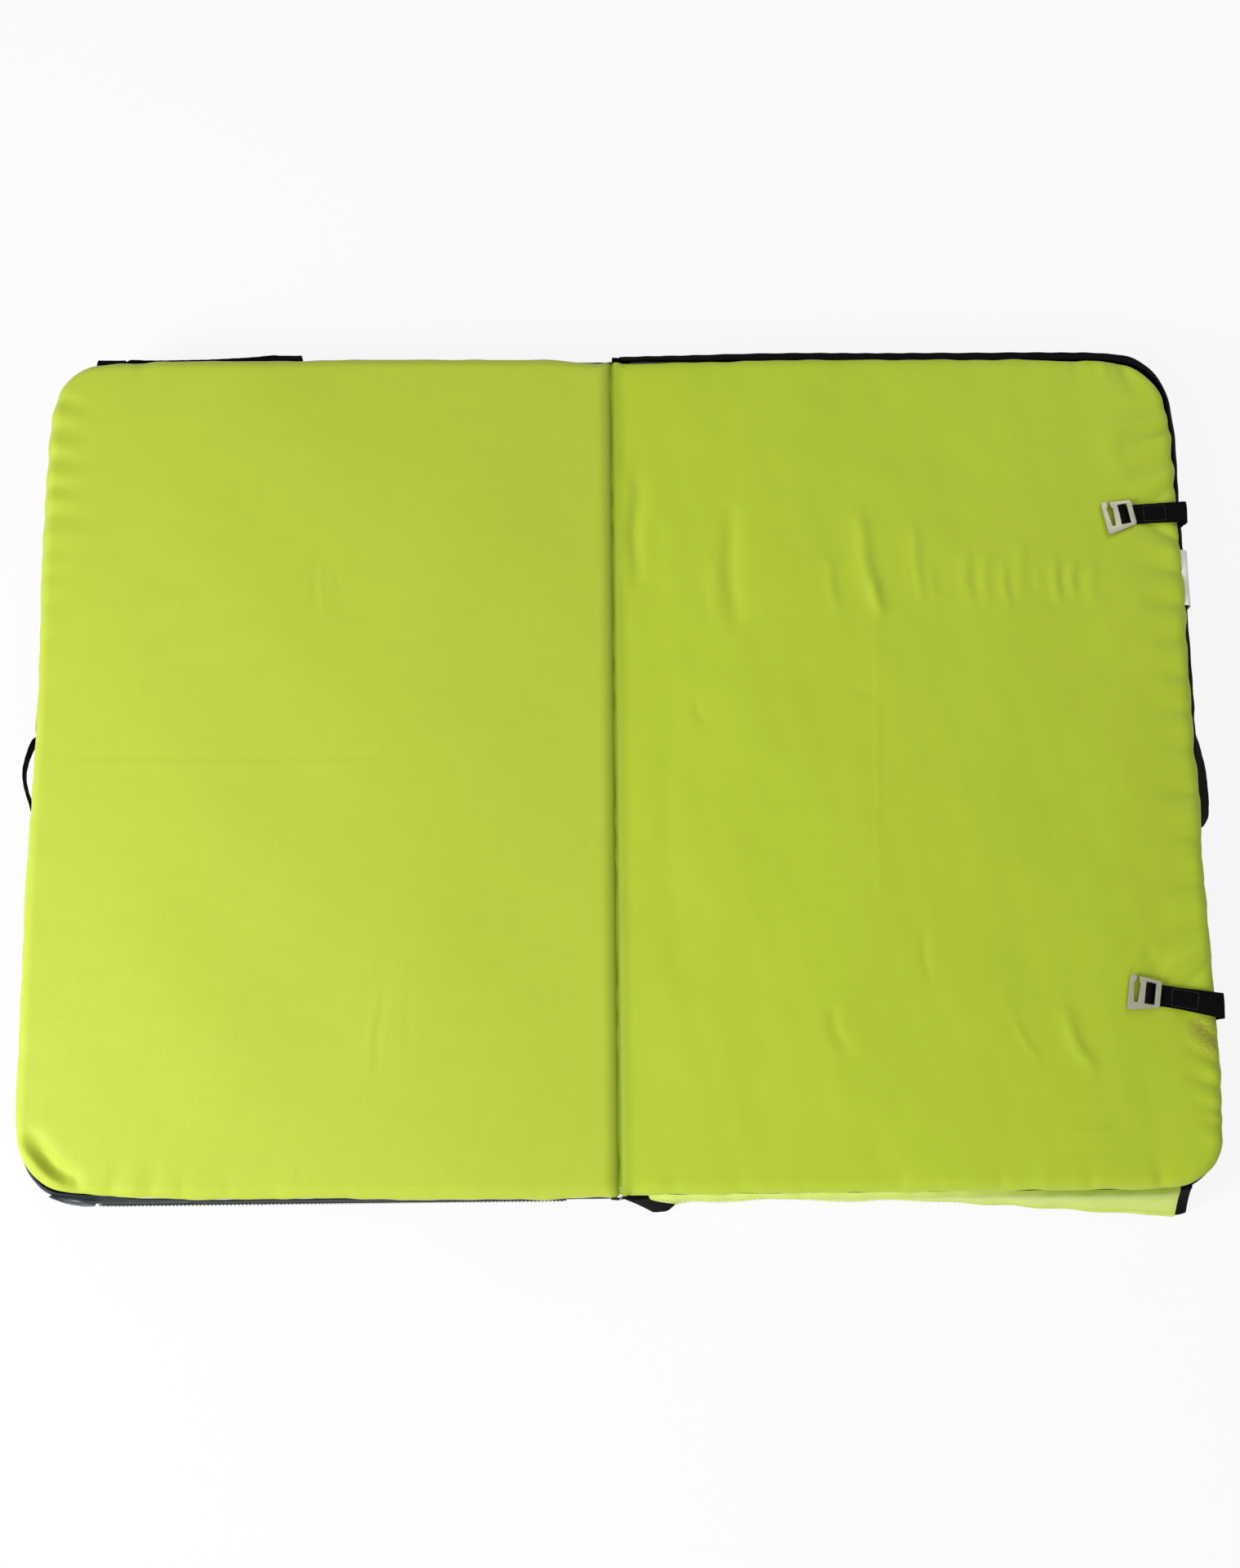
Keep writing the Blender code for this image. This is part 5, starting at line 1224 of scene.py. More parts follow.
def make_crease_thread():
    """A few pale bar-tack stitches at the near end of the fold."""
    shape = bmesh.new()
    for x in (-0.0006, 0.0007):
        places = ((x, -0.4940, 0.0880), (x + 0.0004, -0.4885, 0.0945),
                  (x + 0.0004, -0.4790, 0.0955))
        for start, end, up in zip(places, places[1:], ((0, -1, 1), (0, 0, 1))):
            stitch_run(shape, start, end, up, pitch=0.0026, radius=0.00045)
    finish_piece("fold_bar_tack", shape, "pale_thread", "left_half")


# ---------------------------------------------------------------- closure straps and hooks

def strap_root(place):
    return Vector((EDGE + ROOT_OUT, STRAP_PLACES[place], ROOT_LEVEL))


def strap_frame(place, along, tilt):
    """A frame on a strap: X towards the hook's tip, Y out of the landing face, Z to the far side."""
    turn = Matrix.Rotation(math.radians(STRAP_TURNS[place]), 4, "Z")
    lie = Matrix(((-1, 0, 0, 0), (0, 0, 1, 0), (0, 1, 0, 0), (0, 0, 0, 1)))
    strap_tilt = Matrix.Rotation(math.radians(STRAP_TILT), 4, "Y")
    start = strap_root(place) + (turn @ strap_tilt @ lie) @ Vector((along, 0, 0))
    return Matrix.Translation(start) @ turn @ Matrix.Rotation(math.radians(tilt), 4, "Y") @ lie


def make_closure_strap(place):
    """Webbing from its riser on the wall, over the rim and along the landing face to the hook."""
    pivot = strap_root(place)
    on_strap = strap_frame(place, 0, STRAP_TILT)
    wall = EDGE + WALL_SWELL["right"]["outer"] + 0.0025
    y = STRAP_PLACES[place]
    length = STRAP_LENGTHS[place]
    points = [
        (wall, y, 0.027), (wall, y, 0.045), (wall, y, 0.065), (wall + 0.0005, y, 0.084),
        (pivot.x + 0.0030, y, 0.0950), (pivot.x + 0.0012, y, 0.1008),
    ]
    for share in (0.05, 0.18, 0.40, 0.65, 0.88, 1.0):
        lift = 0.0008 * math.sin(math.pi * share)
        points.append(on_strap @ Vector((length * share, lift, 0)))
    flat = Vector((0, 1, 0))
    turned = (on_strap.to_3x3() @ Vector((0, 0, 1))).normalized()

    def sideways(along):
        return flat.lerp(turned, clamped((along - 0.50) / 0.12))

    def width(along):
        past_rim = clamped((along - 0.52) / 0.35)
        return ROOT_WIDTHS[place] + (WEB_WIDTH - ROOT_WIDTHS[place]) * past_rim

    shape = ribbon(points, sideways, width, WEB_THICK, 64, 8, crinkle=0.00025, seed=5)
    made = finish_piece(f"strap_{place}_webbing", shape, "webbing", None, "black_webbing",
                        [f"closure_strap_{place}", f"strap_patch_{place}"])
    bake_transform(made)
    riser = bmesh.new()
    box_stitch(riser, (wall + 0.0004, y, 0.045), (0, 1, 0), (0, 0, 1), STITCHED_WIDTH, 0.026,
               (1, 0, 0))
    finish_piece(f"strap_{place}_riser_stitches", riser, "black_thread", "right_half")
    sewn = bmesh.new()
    here = strap_frame(place, length * 0.62, STRAP_TILT)
    along, up, across = (here.to_3x3() @ Vector(axis) for axis in ((1, 0, 0), (0, 1, 0), (0, 0, 1)))
    spot = here.to_translation() + up * 0.0012
    stitched = 0.42 * length
    for shift in (-0.5, 0.5):
        start = spot + along * (shift * stitched) - across * (STITCHED_WIDTH / 2)
        stitch_run(sewn, start, start + across * STITCHED_WIDTH, up)
    for shift in (-0.5, 0.5):
        start = spot + across * (shift * STITCHED_WIDTH) - along * (stitched / 2)
        stitch_run(sewn, start, start + along * stitched, up)
    finish_piece(f"strap_{place}_stitches", sewn, "black_thread", f"strap_{place}")


def make_end_loop(place):
    """The last of the webbing: out from under the hook's strip, up round the bar and back."""
    here = strap_frame(place, STRAP_LENGTHS[place], HOOK_TILT)
    along, up = HOOK_BAR
    radius = 0.0024
    points = [here @ Vector((0.0005, 0, 0)), here @ Vector((0.006, -0.0002, 0))]
    for angle in range(-90, 200, 24):
        spin = math.radians(angle)
        round_bar = (along + radius * math.cos(spin), up + radius * math.sin(spin), 0)
        points.append(here @ Vector(round_bar))
    points.append(here @ Vector((0.0105, 0.0012, 0)))
    side = here.to_3x3() @ Vector((0, 0, 1))
    shape = ribbon(points, side, 0.0235, 0.0012, 56, 8, crinkle=0.00022, seed=9)
    finish_piece(f"strap_end_webbing_{place}", shape, "webbing", f"hook_{place}", "black_webbing",
                 [f"strap_end_loop_{place}"])


def make_hook(place):
    """The flat alloy hook with its edges tumbled round."""
    shape = copy_of(f"closure_hook_{place}")
    soften(shape, 0.00055, 3, 40)
    bar = strap_frame(place, STRAP_LENGTHS[place], HOOK_TILT) @ Vector((*HOOK_BAR, 0))
    turn = Matrix.Translation(bar) @ Matrix.Rotation(math.radians(HOOK_SKEWS[place]), 4, "Z")
    bmesh.ops.transform(shape, matrix=turn @ Matrix.Translation(-bar), verts=shape.verts)
    finish_piece(f"hook_{place}_alloy", shape, "alloy", f"hook_{place}", "hook_metal",
                 [f"closure_hook_{place}"], sharp=35)


def make_receiving_loop(place):
    """A webbing loop on the left wall that a hook clips into."""
    y = STRAP_PLACES[place]
    drawn_in = min(0, float(rim_shift("left", "outer", y)))
    wall = -(EDGE + WALL_SWELL["left"]["outer"] + 0.0012 + drawn_in)
    points = [(wall - 0.0004, y, 0.019), (wall - 0.0004, y, 0.027), (wall - 0.0026, y, 0.032),
              (wall - 0.0054, y, 0.037), (wall - 0.0050, y, 0.043), (wall - 0.0030, y, 0.050),
              (wall - 0.0012, y, 0.057), (wall - 0.0002, y, 0.062), (wall - 0.0002, y, 0.067)]
    shape = ribbon(points, (0, 1, 0), 0.025, 0.0016, 32, 6, crinkle=0.0001, seed=3)
    finish_piece(f"catch_loop_{place}", shape, "webbing", "left_half", "black_webbing",
                 [f"hook_loop_{place}"])
    sewn = bmesh.new()
    for level in (0.0232, 0.0632):
        box_stitch(sewn, (wall - 0.0015, y, level), (0, 1, 0), (0, 0, 1), STITCHED_WIDTH, 0.007,
                   (-1, 0, 0))
    finish_piece(f"catch_loop_{place}_stitches", sewn, "black_thread", "left_half")


# ---------------------------------------------------------------- handles

# Each handle. The rows of its shape are the share along, how far out and up it lies from its axis,
# and how many degrees its section leans. tabs are how bulky the upper ends of its sleeves are, dent
# is how deep the wall is held in behind it.
HANDLES = {
    "left": {
        "middle": (-(EDGE + 0.0088), MIDDLE_Y - 0.014, 0.055), "along": (0, 1, 0), "out": (-1, 0, 0),
        "length": 0.150, "body": "left_handle", "wall": "left_half", "height": 0.0198,
        "tabs": (0, 0), "dent": 0.0056, "tuck": 0.0034, "rise": 1.0,
        "shape": (
            (0.00, -0.0040, -0.003, 0), (0.10, -0.0040, -0.003, 0), (0.20, -0.0040, -0.002, 0),
            (0.30, -0.0008, 0, 4), (0.42, 0.0060, 0, 8), (0.55, 0.0096, 0, 9), (0.68, 0.0068, 0, 8),
            (0.80, 0.0006, 0, 4), (0.88, -0.0040, -0.002, 0), (0.94, -0.0040, -0.003, 0),
            (1.00, -0.0040, -0.003, 0),
        ),
    },
    "right": {
        "middle": (EDGE + 0.0128, MIDDLE_Y - 0.014, 0.055), "along": (0, -1, 0), "out": (1, 0, 0),
        "length": 0.180, "body": "right_handle", "wall": "right_half", "height": 0.0245,
        "tabs": (0, 0), "dent": 0.0090, "tuck": 0.0008, "rise": 1.0,
        "shape": (
            (0.00, -0.0040, -0.005, 0), (0.06, -0.0036, -0.004, 4), (0.12, -0.0020, -0.001, 14),
            (0.22, 0.0010, 0.002, 30), (0.35, 0.0040, 0.003, 38), (0.48, 0.0066, 0.003, 42),
            (0.64, 0.0076, 0.003, 42), (0.76, 0.0074, 0.002, 38), (0.83, 0.0044, 0.001, 28),
            (0.89, -0.0020, -0.002, 10), (0.94, -0.0038, -0.005, 0), (1.00, -0.0040, -0.005, 0),
        ),
    },
    "far": {
        "middle": (0.174 - EDGE, FAR_EDGE + 0.0098, 0.052), "along": (1, 0, 0), "out": (0, 1, 0),
        "length": 0.232, "body": "far_handle", "wall": "left_half", "height": 0.024,
        "tabs": (0.0010, 0.0026), "dent": 0.0068, "tuck": 0.0034, "rise": 0.88,
        "shape": (
            (0.00, -0.0030, 0, 0), (0.05, 0.0012, 0.0005, 0), (0.10, 0.0022, 0.0010, 0),
            (0.15, 0.0024, 0.0010, 2), (0.20, 0.0022, 0.0010, 4), (0.32, 0.0022, 0.0010, 4),
            (0.55, 0.0038, 0.0008, 6), (0.75, 0.0068, 0.0006, 8), (0.88, 0.0096, 0.0004, 8),
            (0.95, 0.0072, 0.0002, 0), (1.00, -0.0015, 0, 0),
        ),
    },
}


HANDLE_SWING = 45  # degrees each way
HANDLE_THICK = 0.0024
GATHERED_HEIGHT = 0.0034  # of a handle's webbing where it turns in its sleeves
SLEEVE_INSET = 0.0065
SLEEVE_PROFILE = (
    (-0.0040, -0.017), (-0.0040, -0.010), (-0.0030, -0.0050), (-0.0005, -0.0036), (0.0008, 0.0),
    (-0.0005, 0.0036), (-0.0030, 0.0050), (-0.0040, 0.010), (-0.0040, 0.017),
)
SLEEVE_WIDTHS = {"plain": 0.020, "start": 0.033, "end": 0.026}


def make_handle(name, facts):
    """A webbing grab handle between two sewn sleeves: flat in the middle, gathered at its ends."""
    middle, along, out = Vector(facts["middle"]), Vector(facts["along"]), Vector(facts["out"])
    length, up, rows = facts["length"], Vector((0, 0, 1)), facts["shape"]
    points = [middle + along * (length * (share - 0.5)) + out * off + up * lift
              for share, off, lift, lean in rows]

    def height(share):
        """Gathered at its ends, and never so high that its edge meets the wall when it swings."""
        gathered = clamped((min(share, 1 - share) - 0.04) / 0.09)
        high = GATHERED_HEIGHT + (facts["height"] - GATHERED_HEIGHT) * eased(gathered)
        clear = 0.0016 + handle_room(facts, length * (share - 0.5))
        room = clear + math.sqrt(0.5) * (between(rows, share, 1) - abs(between(rows, share, 2)))
        swings = 2 * room / math.sin(math.radians(HANDLE_SWING + between(rows, share, 3)))
        return min(high, max(GATHERED_HEIGHT, swings))

    def across(share):
        lean = math.radians(between(rows, share, 3))
        return up * math.cos(lean) - out * math.sin(lean)

    shape = ribbon(points, across, height, HANDLE_THICK, 96, 8, crinkle=0.00008, seed=13)
    finish_piece(f"{name}_handle_webbing", shape, "webbing", facts["body"], "black_webbing",
                 [f"{name}_handle"])
    for end, way, bulk in zip(("start", "end"), (-1, 1), facts["tabs"]):
        at = middle + along * (way * (length / 2 - SLEEVE_INSET))
        if not bulk or way < 0:
            at -= out * facts["tuck"]
        if not bulk:
            at += up * rows[0][2]
        profile = list(SLEEVE_PROFILE)
        if bulk:
            rise = facts["rise"]
            profile[-2:] = [(-0.0030 + bulk / 2, 0.010), (-0.0022 + bulk, 0.020 * rise),
                            (-0.0016 + bulk, 0.0285 * rise), (-0.0060 + bulk / 2, 0.0335 * rise),
                            (-0.0100, 0.0345 * rise)]
        path = [at + out * off + up * level for off, level in profile]
        wide = SLEEVE_WIDTHS[end if bulk else "plain"]
        path = [spot + along * max(0, wide - SLEEVE_WIDTHS["end"]) / 2 for spot in path]
        sleeve = ribbon(path, along, wide, 0.0014 + bulk / 2, 40, 6, crinkle=0.0001, seed=17)
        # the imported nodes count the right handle's sleeves the other way along it
        label = end if name != "right" else {"start": "end", "end": "start"}[end]
        finish_piece(f"{name}_sleeve_{label}", sleeve, "webbing", facts["wall"], "black_webbing",
                     [f"{name}_handle_sleeve_{label}"])
        sewn = bmesh.new()
        for level in ((-0.0130, 0.0130) if not bulk else (-0.0130,)):
            spot = at + out * (-0.0024) + up * level
            box_stitch(sewn, spot, along, up, 0.014, 0.006, out)
        finish_piece(f"{name}_sleeve_{label}_stitches", sewn, "black_thread", facts["wall"])


# ---------------------------------------------------------------- closing flap

FLAP_START, FLAP_START_SLANT = 0.004, 0.036
FLAP_END, FLAP_END_SLANT = EDGE - 0.037, -0.0165
FLAP_DROP, FLAP_FLARE, FLAP_STAND_OFF = 0.080, 0.021, 0.0045
FLAP_TOP_Y, FLAP_TOP_Z = NEAR_EDGE - 0.0053, 0.087
FLAP_TUCK = 0.0062
FLARE_SHARES = (
    (0.00, 0.62), (0.02, 0.56), (0.05, 0.06), (0.08, 0.00), (0.16, 0.00), (0.24, -0.20), (0.38, 0.12),
    (0.45, 0.00), (0.56, 0.20), (0.66, 0.40), (0.76, 0.62), (0.88, 0.88), (0.94, 0.98), (1.00, 1.22),
)
BINDING_START_SHARE, BINDING_END_SHARE = 0.042, 0.980
FLAP_FLAT = (0.630, 0.083)


def flap_point(share, down, offset=0.0):
    """A place on the hanging flap, whose sewn top is tucked under the cover's hem."""
    left = FLAP_START + FLAP_START_SLANT * down
    right = FLAP_END - FLAP_END_SLANT * down
    x = left + (right - left) * share
    out = FLAP_STAND_OFF * (1 - (1 - down) ** 2)
    out += FLAP_FLARE * between(FLARE_SHARES, share, 1) * down**1.6
    wave = 0.0011 * math.sin(share * 46 + 2 * math.sin(share * 9)) * down * (1 - 0.4 * down)
    wave += 0.0007 * math.sin(share * 95) * math.exp(-((down - 0.05) / 0.12) ** 2)
    tuck = FLAP_TUCK * max(0, 1 - down / 0.09) ** 2
    past = max(0, x - (EDGE - OUTER_CORNER))
    turned = (OUTER_CORNER - math.sqrt(OUTER_CORNER**2 - past**2)) * (1 - 0.55 * down)
    turned += float(corner_pull("right", x, NEAR_EDGE, 0)) * (1 - down)
    return Vector((x, FLAP_TOP_Y - out - wave + tuck + turned + offset,
                   FLAP_TOP_Z + 0.0010 - (FLAP_DROP + 0.0010) * down))


def flap_strip(shares, downs, columns, rows, offset, thickness, size):
    """A strip of the flap between two shares of its length and of its drop."""
    def place(across, along):
        share = shares[0] + (shares[1] - shares[0]) * across
        down = downs[1] + (downs[0] - downs[1]) * along
        return flap_point(share, down, offset)

    return thicken(patch(columns, rows, size, place), thickness)


def make_flap():
    """The closing flap: one lime sheet with a turned hem, bound ends and hook tape inside."""
    # The flap cloth and its hem carry the painted sheen and painted shadow of their material.
    shape = flap_strip((BINDING_START_SHARE, BINDING_END_SHARE), (0, 1), 220, 28, 0.0005, 0.0009,
                       FLAP_FLAT)
    cloth = finish_piece("flap_cloth", shape, "flap_sheen_lime", "near_flap", "lime_cloth",
                         ["closing_flap"])
    hem = flap_strip((BINDING_START_SHARE + 0.002, BINDING_END_SHARE - 0.002), (0.87, 1.012), 220, 5,
                     -0.0004, 0.0010, (FLAP_FLAT[0], 0.011))
    hem = finish_piece("flap_hem", hem, "flap_sheen_lime", "near_flap", "lime_cloth")
    sewn = bmesh.new()
    for down in (0.885, 0.06):
        places = [flap_point(0.045 + 0.93 * i / 60, down, -0.0012) for i in range(61)]
        for start, end in zip(places, places[1:]):
            stitch_run(sewn, start, end, (0, -1, 0), pitch=0.0040, length=0.0028, radius=0.00025)
    sewn = finish_piece("flap_stitches", sewn, "lime_thread", "near_flap")
    for name, shares in (("fold_end", (-0.004, BINDING_START_SHARE + 0.001)),
                         ("outer_end", (BINDING_END_SHARE - 0.001, 1.002))):
        strip = flap_strip(shares, (0, 1.01), 6, 28, 0.0012, 0.0024, (0.020, FLAP_FLAT[1]))
        soften(strip, 0.0007)
        finish_piece(f"flap_binding_{name}_tape", strip, "binding", "near_flap",
                                     "black_cloth", [f"flap_binding_{name}"])
    tape = flap_strip((0.076, 0.942), (0.68, 0.86), 160, 6, 0.0024, 0.0012, (0.55, 0.020))
    tape = finish_piece("flap_grip_tape", tape, "bristle", "near_flap", "black_webbing",
                        ["flap_hook_tape"])


def make_corner_satin():
    """The loose satin end of the left half's near seam, by its outer corner."""
    # Its pale colour is a painted sheen on the slate satin.
    rows = [(-0.628, 0.0040, 0.0790), (-0.618, 0.0050, 0.0820), (-0.604, 0.0056, 0.0835),
            (-0.590, 0.0056, 0.0835), (-0.577, 0.0050, 0.0830)]
    points = [(x, near_wall(x, out), level) for x, out, level in rows]
    shape = ribbon(points, (0, -0.5, 1), 0.0075, 0.0010, 48, 6, crinkle=0.0005, seed=23)
    finish_piece("near_seam_satin_end", shape, "satin", "left_half", "slate_cloth")


CATCH_START, CATCH_FOOT = -0.580, 0.0325
CATCH_SIZE = (0.520, 0.025)


def make_catch_tape():
    """The fluffy tape on the left half's near wall."""
    stand_off = WALL_SWELL["left"]["near"] + 0.0024

    def place(across, along):
        x = CATCH_START + CATCH_SIZE[0] * across
        fluff = 0.0003 * math.sin(across * 900) * math.sin(along * 60)
        return Vector((x, near_wall(x, stand_off + fluff), CATCH_FOOT + CATCH_SIZE[1] * along))

    shape = thicken(patch(200, 8, CATCH_SIZE, place), 0.0012)
    finish_piece("catch_tape_pile", shape, "fluff", "left_half", "slate_cloth", ["flap_catch_tape"])
    sewn = bmesh.new()
    inset = 0.003
    for level in (0.0345, 0.0555):
        along = [CATCH_START + inset + (CATCH_SIZE[0] - 2 * inset) * i / 24 for i in range(25)]
        places = [(x, near_wall(x, stand_off + 0.0008), level) for x in along]
        for start, end in zip(places, places[1:]):
            stitch_run(sewn, start, end, (0, -1, 0))
    finish_piece("catch_tape_stitches", sewn, "black_thread", "left_half")


TAG_MIDDLE, TAG_WIDTH, TAG_STEPS = FAR_EDGE - 0.277, 0.068, 16


def make_tag():
    """A blank pale tag, caught in the seam and lying over the right half's outer wall."""
    path, tall = smooth_path([
        (EDGE - 0.0012, 0, 0.0926), (EDGE + 0.0050, 0, 0.0924), (EDGE + 0.0090, 0, 0.0908),
        (EDGE + 0.0108, 0, 0.0850), (EDGE + 0.0112, 0, 0.0740), (EDGE + 0.0118, 0, 0.0600),
    ], TAG_STEPS)

    def place(across, along):
        spot = path[int(round((1 - along) * TAG_STEPS))]
        curl = 0.0012 * (2 * across - 1) ** 2 * (1 - along)
        return Vector((spot.x + curl, TAG_MIDDLE + TAG_WIDTH * (across - 0.5), spot.z))

    shape = thicken(patch(24, TAG_STEPS, (TAG_WIDTH, tall), place), 0.0009)
    made = finish_piece("blank_tag_cloth", shape, "tag", "right_half", "tag_cloth", ["wall_tag"])
    sewn = bmesh.new()
    ends = [(EDGE + 0.0078, TAG_MIDDLE + shift, 0.0918) for shift in (-0.031, 0.031)]
    stitch_run(sewn, *ends, (0.3, 0, 1))
    sewn = finish_piece("blank_tag_stitches", sewn, "pale_thread", "right_half")


# ---------------------------------------------------------------- zips

ZIP_INSET, ZIP_FOOT, ZIP_WIDTH, TOOTH_PITCH = 0.060, 0.022, 0.016, 0.0028


def make_zip(half):
    """Tape, coil and slider of the zip on the inner wall."""
    way = WAY[half]
    face = way * (FOLD_CLEARANCE - WALL_SWELL[half]["fold"])
    near = NEAR_EDGE + ZIP_INSET
    length = HALF_LONG - 2 * ZIP_INSET

    def place(across, along):
        bulge = 0.0005 * math.sin(math.pi * across)
        return Vector((face - way * (0.0004 + bulge), near + length * along,
                       ZIP_FOOT + ZIP_WIDTH * across))

    tape = thicken(patch(8, 90, (ZIP_WIDTH, length), place), 0.0006)
    finish_piece(half + "_zip_tape", tape, "binding", half + "_half", "black_webbing",
                 [half + "_foam_zip"])
    teeth = bmesh.new()
    count = int(length / TOOTH_PITCH)
    for i in range(count):
        for side in (-1, 1):
            middle = Vector((face - way * 0.0010, near + (i + 0.25 + 0.25 * side) * length / count,
                             ZIP_FOOT + ZIP_WIDTH / 2 + side * 0.0013))
            size = Matrix.Diagonal((0.0010, 0.0011, 0.0030, 1))
            bmesh.ops.create_cube(teeth, size=1, matrix=Matrix.Translation(middle) @ size)
    finish_piece(half + "_zip_teeth", teeth, "plastic", half + "_half")
    shape = copy_of(half + "_zip_slider")
    soften(shape, 0.0004)
    finish_piece(half + "_zip_slider_body", shape, "zip_metal", half + "_half", "hook_metal",
                 [half + "_zip_slider"])


# ---------------------------------------------------------------- harness

CEILING = 0.0120  # of the hollow in the right base, less a little room
SHOULDER_TOP = FAR_EDGE - 0.261
SHOULDER_LENGTH = 0.370
SHOULDER_BOTTOM = SHOULDER_TOP - SHOULDER_LENGTH
SHOULDER_SPREADS = (0.050, 0.112)  # from the half's middle, at the top and at the bottom
SHOULDER_HALF_WIDTH, SHOULDER_HALF_THICK = 0.031, 0.0043
TAIL_END, TAIL_DRIFT = NEAR_EDGE + 0.136, 0.016
HARNESS_STEPS = 12


def ease(step):
    share = clamped((step - 1) / (HARNESS_STEPS - 2))
    return (1 - math.cos(math.pi * share)) / 2


def make_shoulder_strap(side, way):
    """A padded shoulder strap with two sewn channels and a bound edge."""
    def centre(share):
        top, bottom = SHOULDER_SPREADS
        spread = top + (bottom - top) * ease(share * HARNESS_STEPS)
        return Vector((HALF_MIDDLE + way * spread, SHOULDER_TOP - SHOULDER_LENGTH * share,
                       CEILING - 0.0045))

    def half_width(share):
        return SHOULDER_HALF_WIDTH * (1.0 - 0.42 * max(0, (share - 0.86) / 0.14) ** 2)

    def place(across, along):
        share = min(max(along, 0.0), 1.0)
        ends = min(1, min(share, 1 - share) / 0.02 + 0.35)
        angle = math.tau * across
        a, b = math.cos(angle), math.sin(angle)
        flat_a = math.copysign(abs(a) ** 0.55, a)
        flat_b = math.copysign(abs(b) ** 0.75, b)
        groove = 1 - 0.45 * sum(math.exp(-((flat_a - g) / 0.06) ** 2) for g in (-0.45, 0.45))
        rumple = 1 + 0.06 * math.sin(share * 70 + 3 * flat_a)
        return centre(share) + Vector((flat_a * half_width(share), 0,
                                       flat_b * SHOULDER_HALF_THICK * groove * rumple * ends))

    shape = patch(40, 110, (0.14, SHOULDER_LENGTH), place, closed=True)
    holes = [edge for edge in shape.edges if edge.is_boundary]
    bmesh.ops.holes_fill(shape, edges=holes, sides=0)
    bmesh.ops.recalc_face_normals(shape, faces=shape.faces)
    made = finish_piece(f"shoulder_pad_{side}", shape, "black_cloth", "right_half", "black_cloth",
                        [f"shoulder_strap_{side}"])
    for edge in (-1, 1):
        points = [centre(share) + Vector((edge * (half_width(share) - 0.0002), 0, 0))
                  for share in (i / 16 for i in range(17))]
        rim = ribbon(points, (0, 0, 1), 0.0066, 0.0008, 80, 4)
        name = f"shoulder_binding_{side}_{'outer' if edge * way > 0 else 'inner'}"
        finish_piece(name, rim, "binding", "right_half")


def make_harness():
    """The shoulder straps with their buckles, tails and anchors, and the yoke they hang from."""
    for side, way in (("fold_side", -1), ("outer_side", 1)):
        make_shoulder_strap(side, way)
        shape = soften(copy_of(f"ladder_buckle_{side}"), 0.0006)
        finish_piece(f"ladder_lock_{side}", shape, "plastic", "right_half", "buckle_plastic",
                     [f"ladder_buckle_{side}"])
        buckle_x = HALF_MIDDLE + way * SHOULDER_SPREADS[1]
        top = SHOULDER_BOTTOM - 0.0003
        through_buckle = ((0.006, 0.0060), (0.014, 0.0072), (0.022, 0.0055), (0.034, 0.0030))
        points = [(buckle_x, top - back, CEILING - down) for back, down in through_buckle]
        for step in range(3, HARNESS_STEPS + 1):
            x = buckle_x + way * TAIL_DRIFT * ease(step)
            y = top - 0.030 - (top - 0.030 - TAIL_END) * step / HARNESS_STEPS
            points.append((x, y, CEILING - 0.0022 - 0.0004 * math.sin(step)))
        tail = ribbon(points, (1, 0, 0), 0.0245, 0.0014, 90, 6, crinkle=0.0002, seed=31)
        finish_piece(f"tail_webbing_{side}", tail, "webbing", "right_half", "black_webbing",
                     [f"webbing_tail_{side}"])
        anchor = soften(copy_of(f"tail_anchor_{side}"), 0.0009)
        map_flat(anchor)
        finish_piece(f"anchor_patch_{side}", anchor, "webbing", "right_half", "black_webbing",
                     [f"tail_anchor_{side}"])
        low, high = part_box(f"tail_anchor_{side}")
        middle = (low + high) / 2
        sewn = bmesh.new()
        box_stitch(sewn, (middle.x, middle.y, low.z - 0.0001), (1, 0, 0), (0, 1, 0), 0.028, 0.028,
                   (0, 0, -1))
        finish_piece(f"anchor_stitches_{side}", sewn, "pale_thread", "right_half")
    yoke = soften(copy_of("harness_yoke"), 0.0009)
    map_flat(yoke)
    finish_piece("yoke_patch", yoke, "webbing", "right_half", "black_webbing", ["harness_yoke"])
    low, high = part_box("harness_yoke")
    sewn = bmesh.new()
    for way in (-1, 1):
        middle = (HALF_MIDDLE + way * SHOULDER_SPREADS[0], (low.y + high.y) / 2, low.z - 0.0001)
        box_stitch(sewn, middle, (1, 0, 0), (0, 1, 0), 0.054, 0.036, (0, 0, -1))
    finish_piece("yoke_stitches", sewn, "pale_thread", "right_half")


# ---------------------------------------------------------------- stage, light, camera

def make_stage():
    """A plain pale floor, as bright as the backdrop to the camera, that keeps a faint shadow."""
    shape = bmesh.new()
    bmesh.ops.create_grid(shape, x_segments=2, y_segments=2, size=14)
    for vertex in shape.verts:
        vertex.co.z = -0.0008
    floor = add_object("studio_floor", mesh_of("studio_floor", shape))
    made, tree, shader = new_material("studio_floor_paint", 0.9, specular=0.0)
    shader.inputs["Base Color"].default_value = (0.90, 0.90, 0.90, 1)
    glow = tree.nodes.new("ShaderNodeEmission")
    glow.inputs["Color"].default_value = (*FLOOR_GLOW, 1)
    mix_shown(tree, maths(tree, "MULTIPLY", seen_rays(tree), 0.90), shader, glow, "Material Output")
    floor.data.materials.append(made)


def seen_rays(tree):
    """One for rays that show a surface to the camera, also in a reflection."""
    path = tree.nodes.new("ShaderNodeLightPath")
    both = maths(tree, "ADD", path.outputs["Is Camera Ray"], path.outputs["Is Glossy Ray"])
    return maths(tree, "ADD", both, path.outputs["Is Transmission Ray"], clamp=True)


def mix_shown(tree, seen, lit, shown, output):
    """Sends a lit surface to a tree's output, with a plain one in its place where it is seen."""
    mix = tree.nodes.new("ShaderNodeMixShader")
    for socket, source in zip(mix.inputs, (seen, lit.outputs[0], shown.outputs[0])):
        tree.links.new(source, socket)
    tree.links.new(mix.outputs[0], tree.nodes[output].inputs["Surface"])


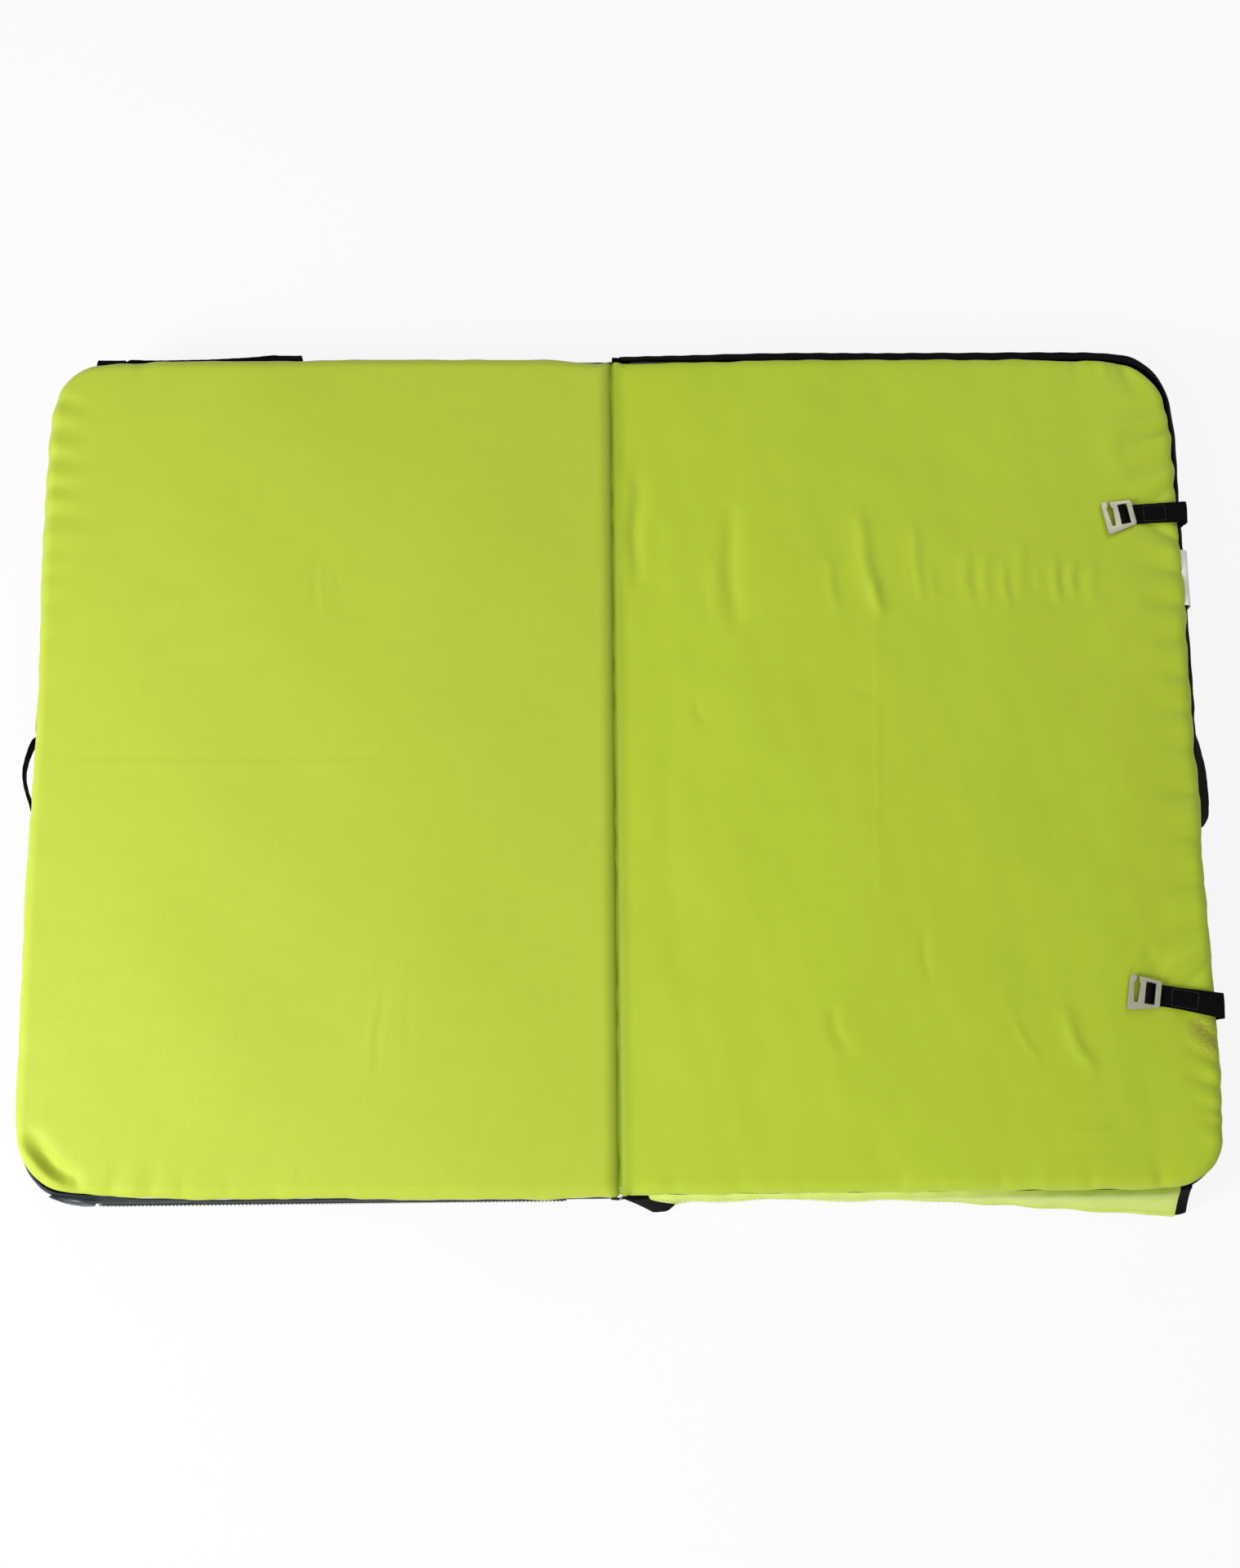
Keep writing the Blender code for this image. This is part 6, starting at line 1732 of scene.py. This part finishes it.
def make_world(strength):
    world = bpy.data.worlds.new("studio")
    bpy.context.scene.world = world
    world.use_nodes = True
    tree = world.node_tree
    sky = tree.nodes["Background"]
    sky.inputs["Color"].default_value = (0.97, 0.985, 1.0, 1)
    sky.inputs["Strength"].default_value = strength
    shown = tree.nodes.new("ShaderNodeBackground")
    shown.inputs["Color"].default_value = (*BACKDROP, 1)
    shown.inputs["Strength"].default_value = 1.0
    mix_shown(tree, seen_rays(tree), sky, shown, "World Output")


SKY_STRENGTH = 0.28
# Each lamp: where it stands, where it looks, its diameter, its power in watts and its colour
LAMPS = {
    "window_lamp": ((-2.5, -1.15, 1.95), (0.1, 0, 0.1), 1.2, 97, (1.0, 0.995, 0.98)),
    "ceiling_lamp": ((-1.45, -0.15, 2.8), (-0.3, 0, 0.1), 0.9, 12, (1, 1, 1)),
    "near_fill": ((0.3, -2.3, 1.4), (0.3, 0, 0.05), 1.2, 12, (1, 1, 1)),
    "far_fill": ((0.95, 1.0, 1.15), (0.6, 0.4, 0.1), 0.5, 3.2, (1, 1, 1)),
}


def make_lamp(name, place, target, size, power, colour):
    data = bpy.data.lights.new(name, "AREA")
    data.shape = "DISK"
    data.size = size
    data.energy = power
    data.color = colour
    lamp = add_object(name, data)
    lamp.location = place
    lamp.rotation_euler = (Vector(target) - Vector(place)).to_track_quat("-Z", "Y").to_euler()


def make_camera():
    data = bpy.data.cameras.new("camera")
    camera = add_object("camera", data)
    data.sensor_width = SENSOR
    data.lens = FOCAL_PIXELS * SENSOR / PICTURE_HEIGHT
    camera.location = CAMERA_PLACE
    camera.rotation_euler = CAMERA_TURN
    bpy.context.scene.camera = camera


def set_scene():
    make_stage()
    make_world(SKY_STRENGTH)
    for name, facts in LAMPS.items():
        make_lamp(name, *facts)
    make_camera()
    bpy.context.scene.view_settings.view_transform = "Standard"


def make_pad():
    for half, cloth, slot, piping in (
        ("left", "slate", "slate_cloth", "slate"), ("right", "black_cloth", "black_cloth", "binding"),
    ):
        make_landing_cover(half)
        make_side_wall(half, cloth, slot)
        make_piping(half, piping, slot)
        make_base(half)
        make_foams(half)
        make_zip(half)
    make_fold_tape()
    make_crease_thread()
    for place in STRAP_PLACES:
        make_closure_strap(place)
        make_end_loop(place)
        make_hook(place)
        make_receiving_loop(place)
    for name, facts in HANDLES.items():
        make_handle(name, facts)
    make_flap()
    make_corner_satin()
    make_catch_tape()
    make_tag()
    make_harness()


make_pad()
set_scene()
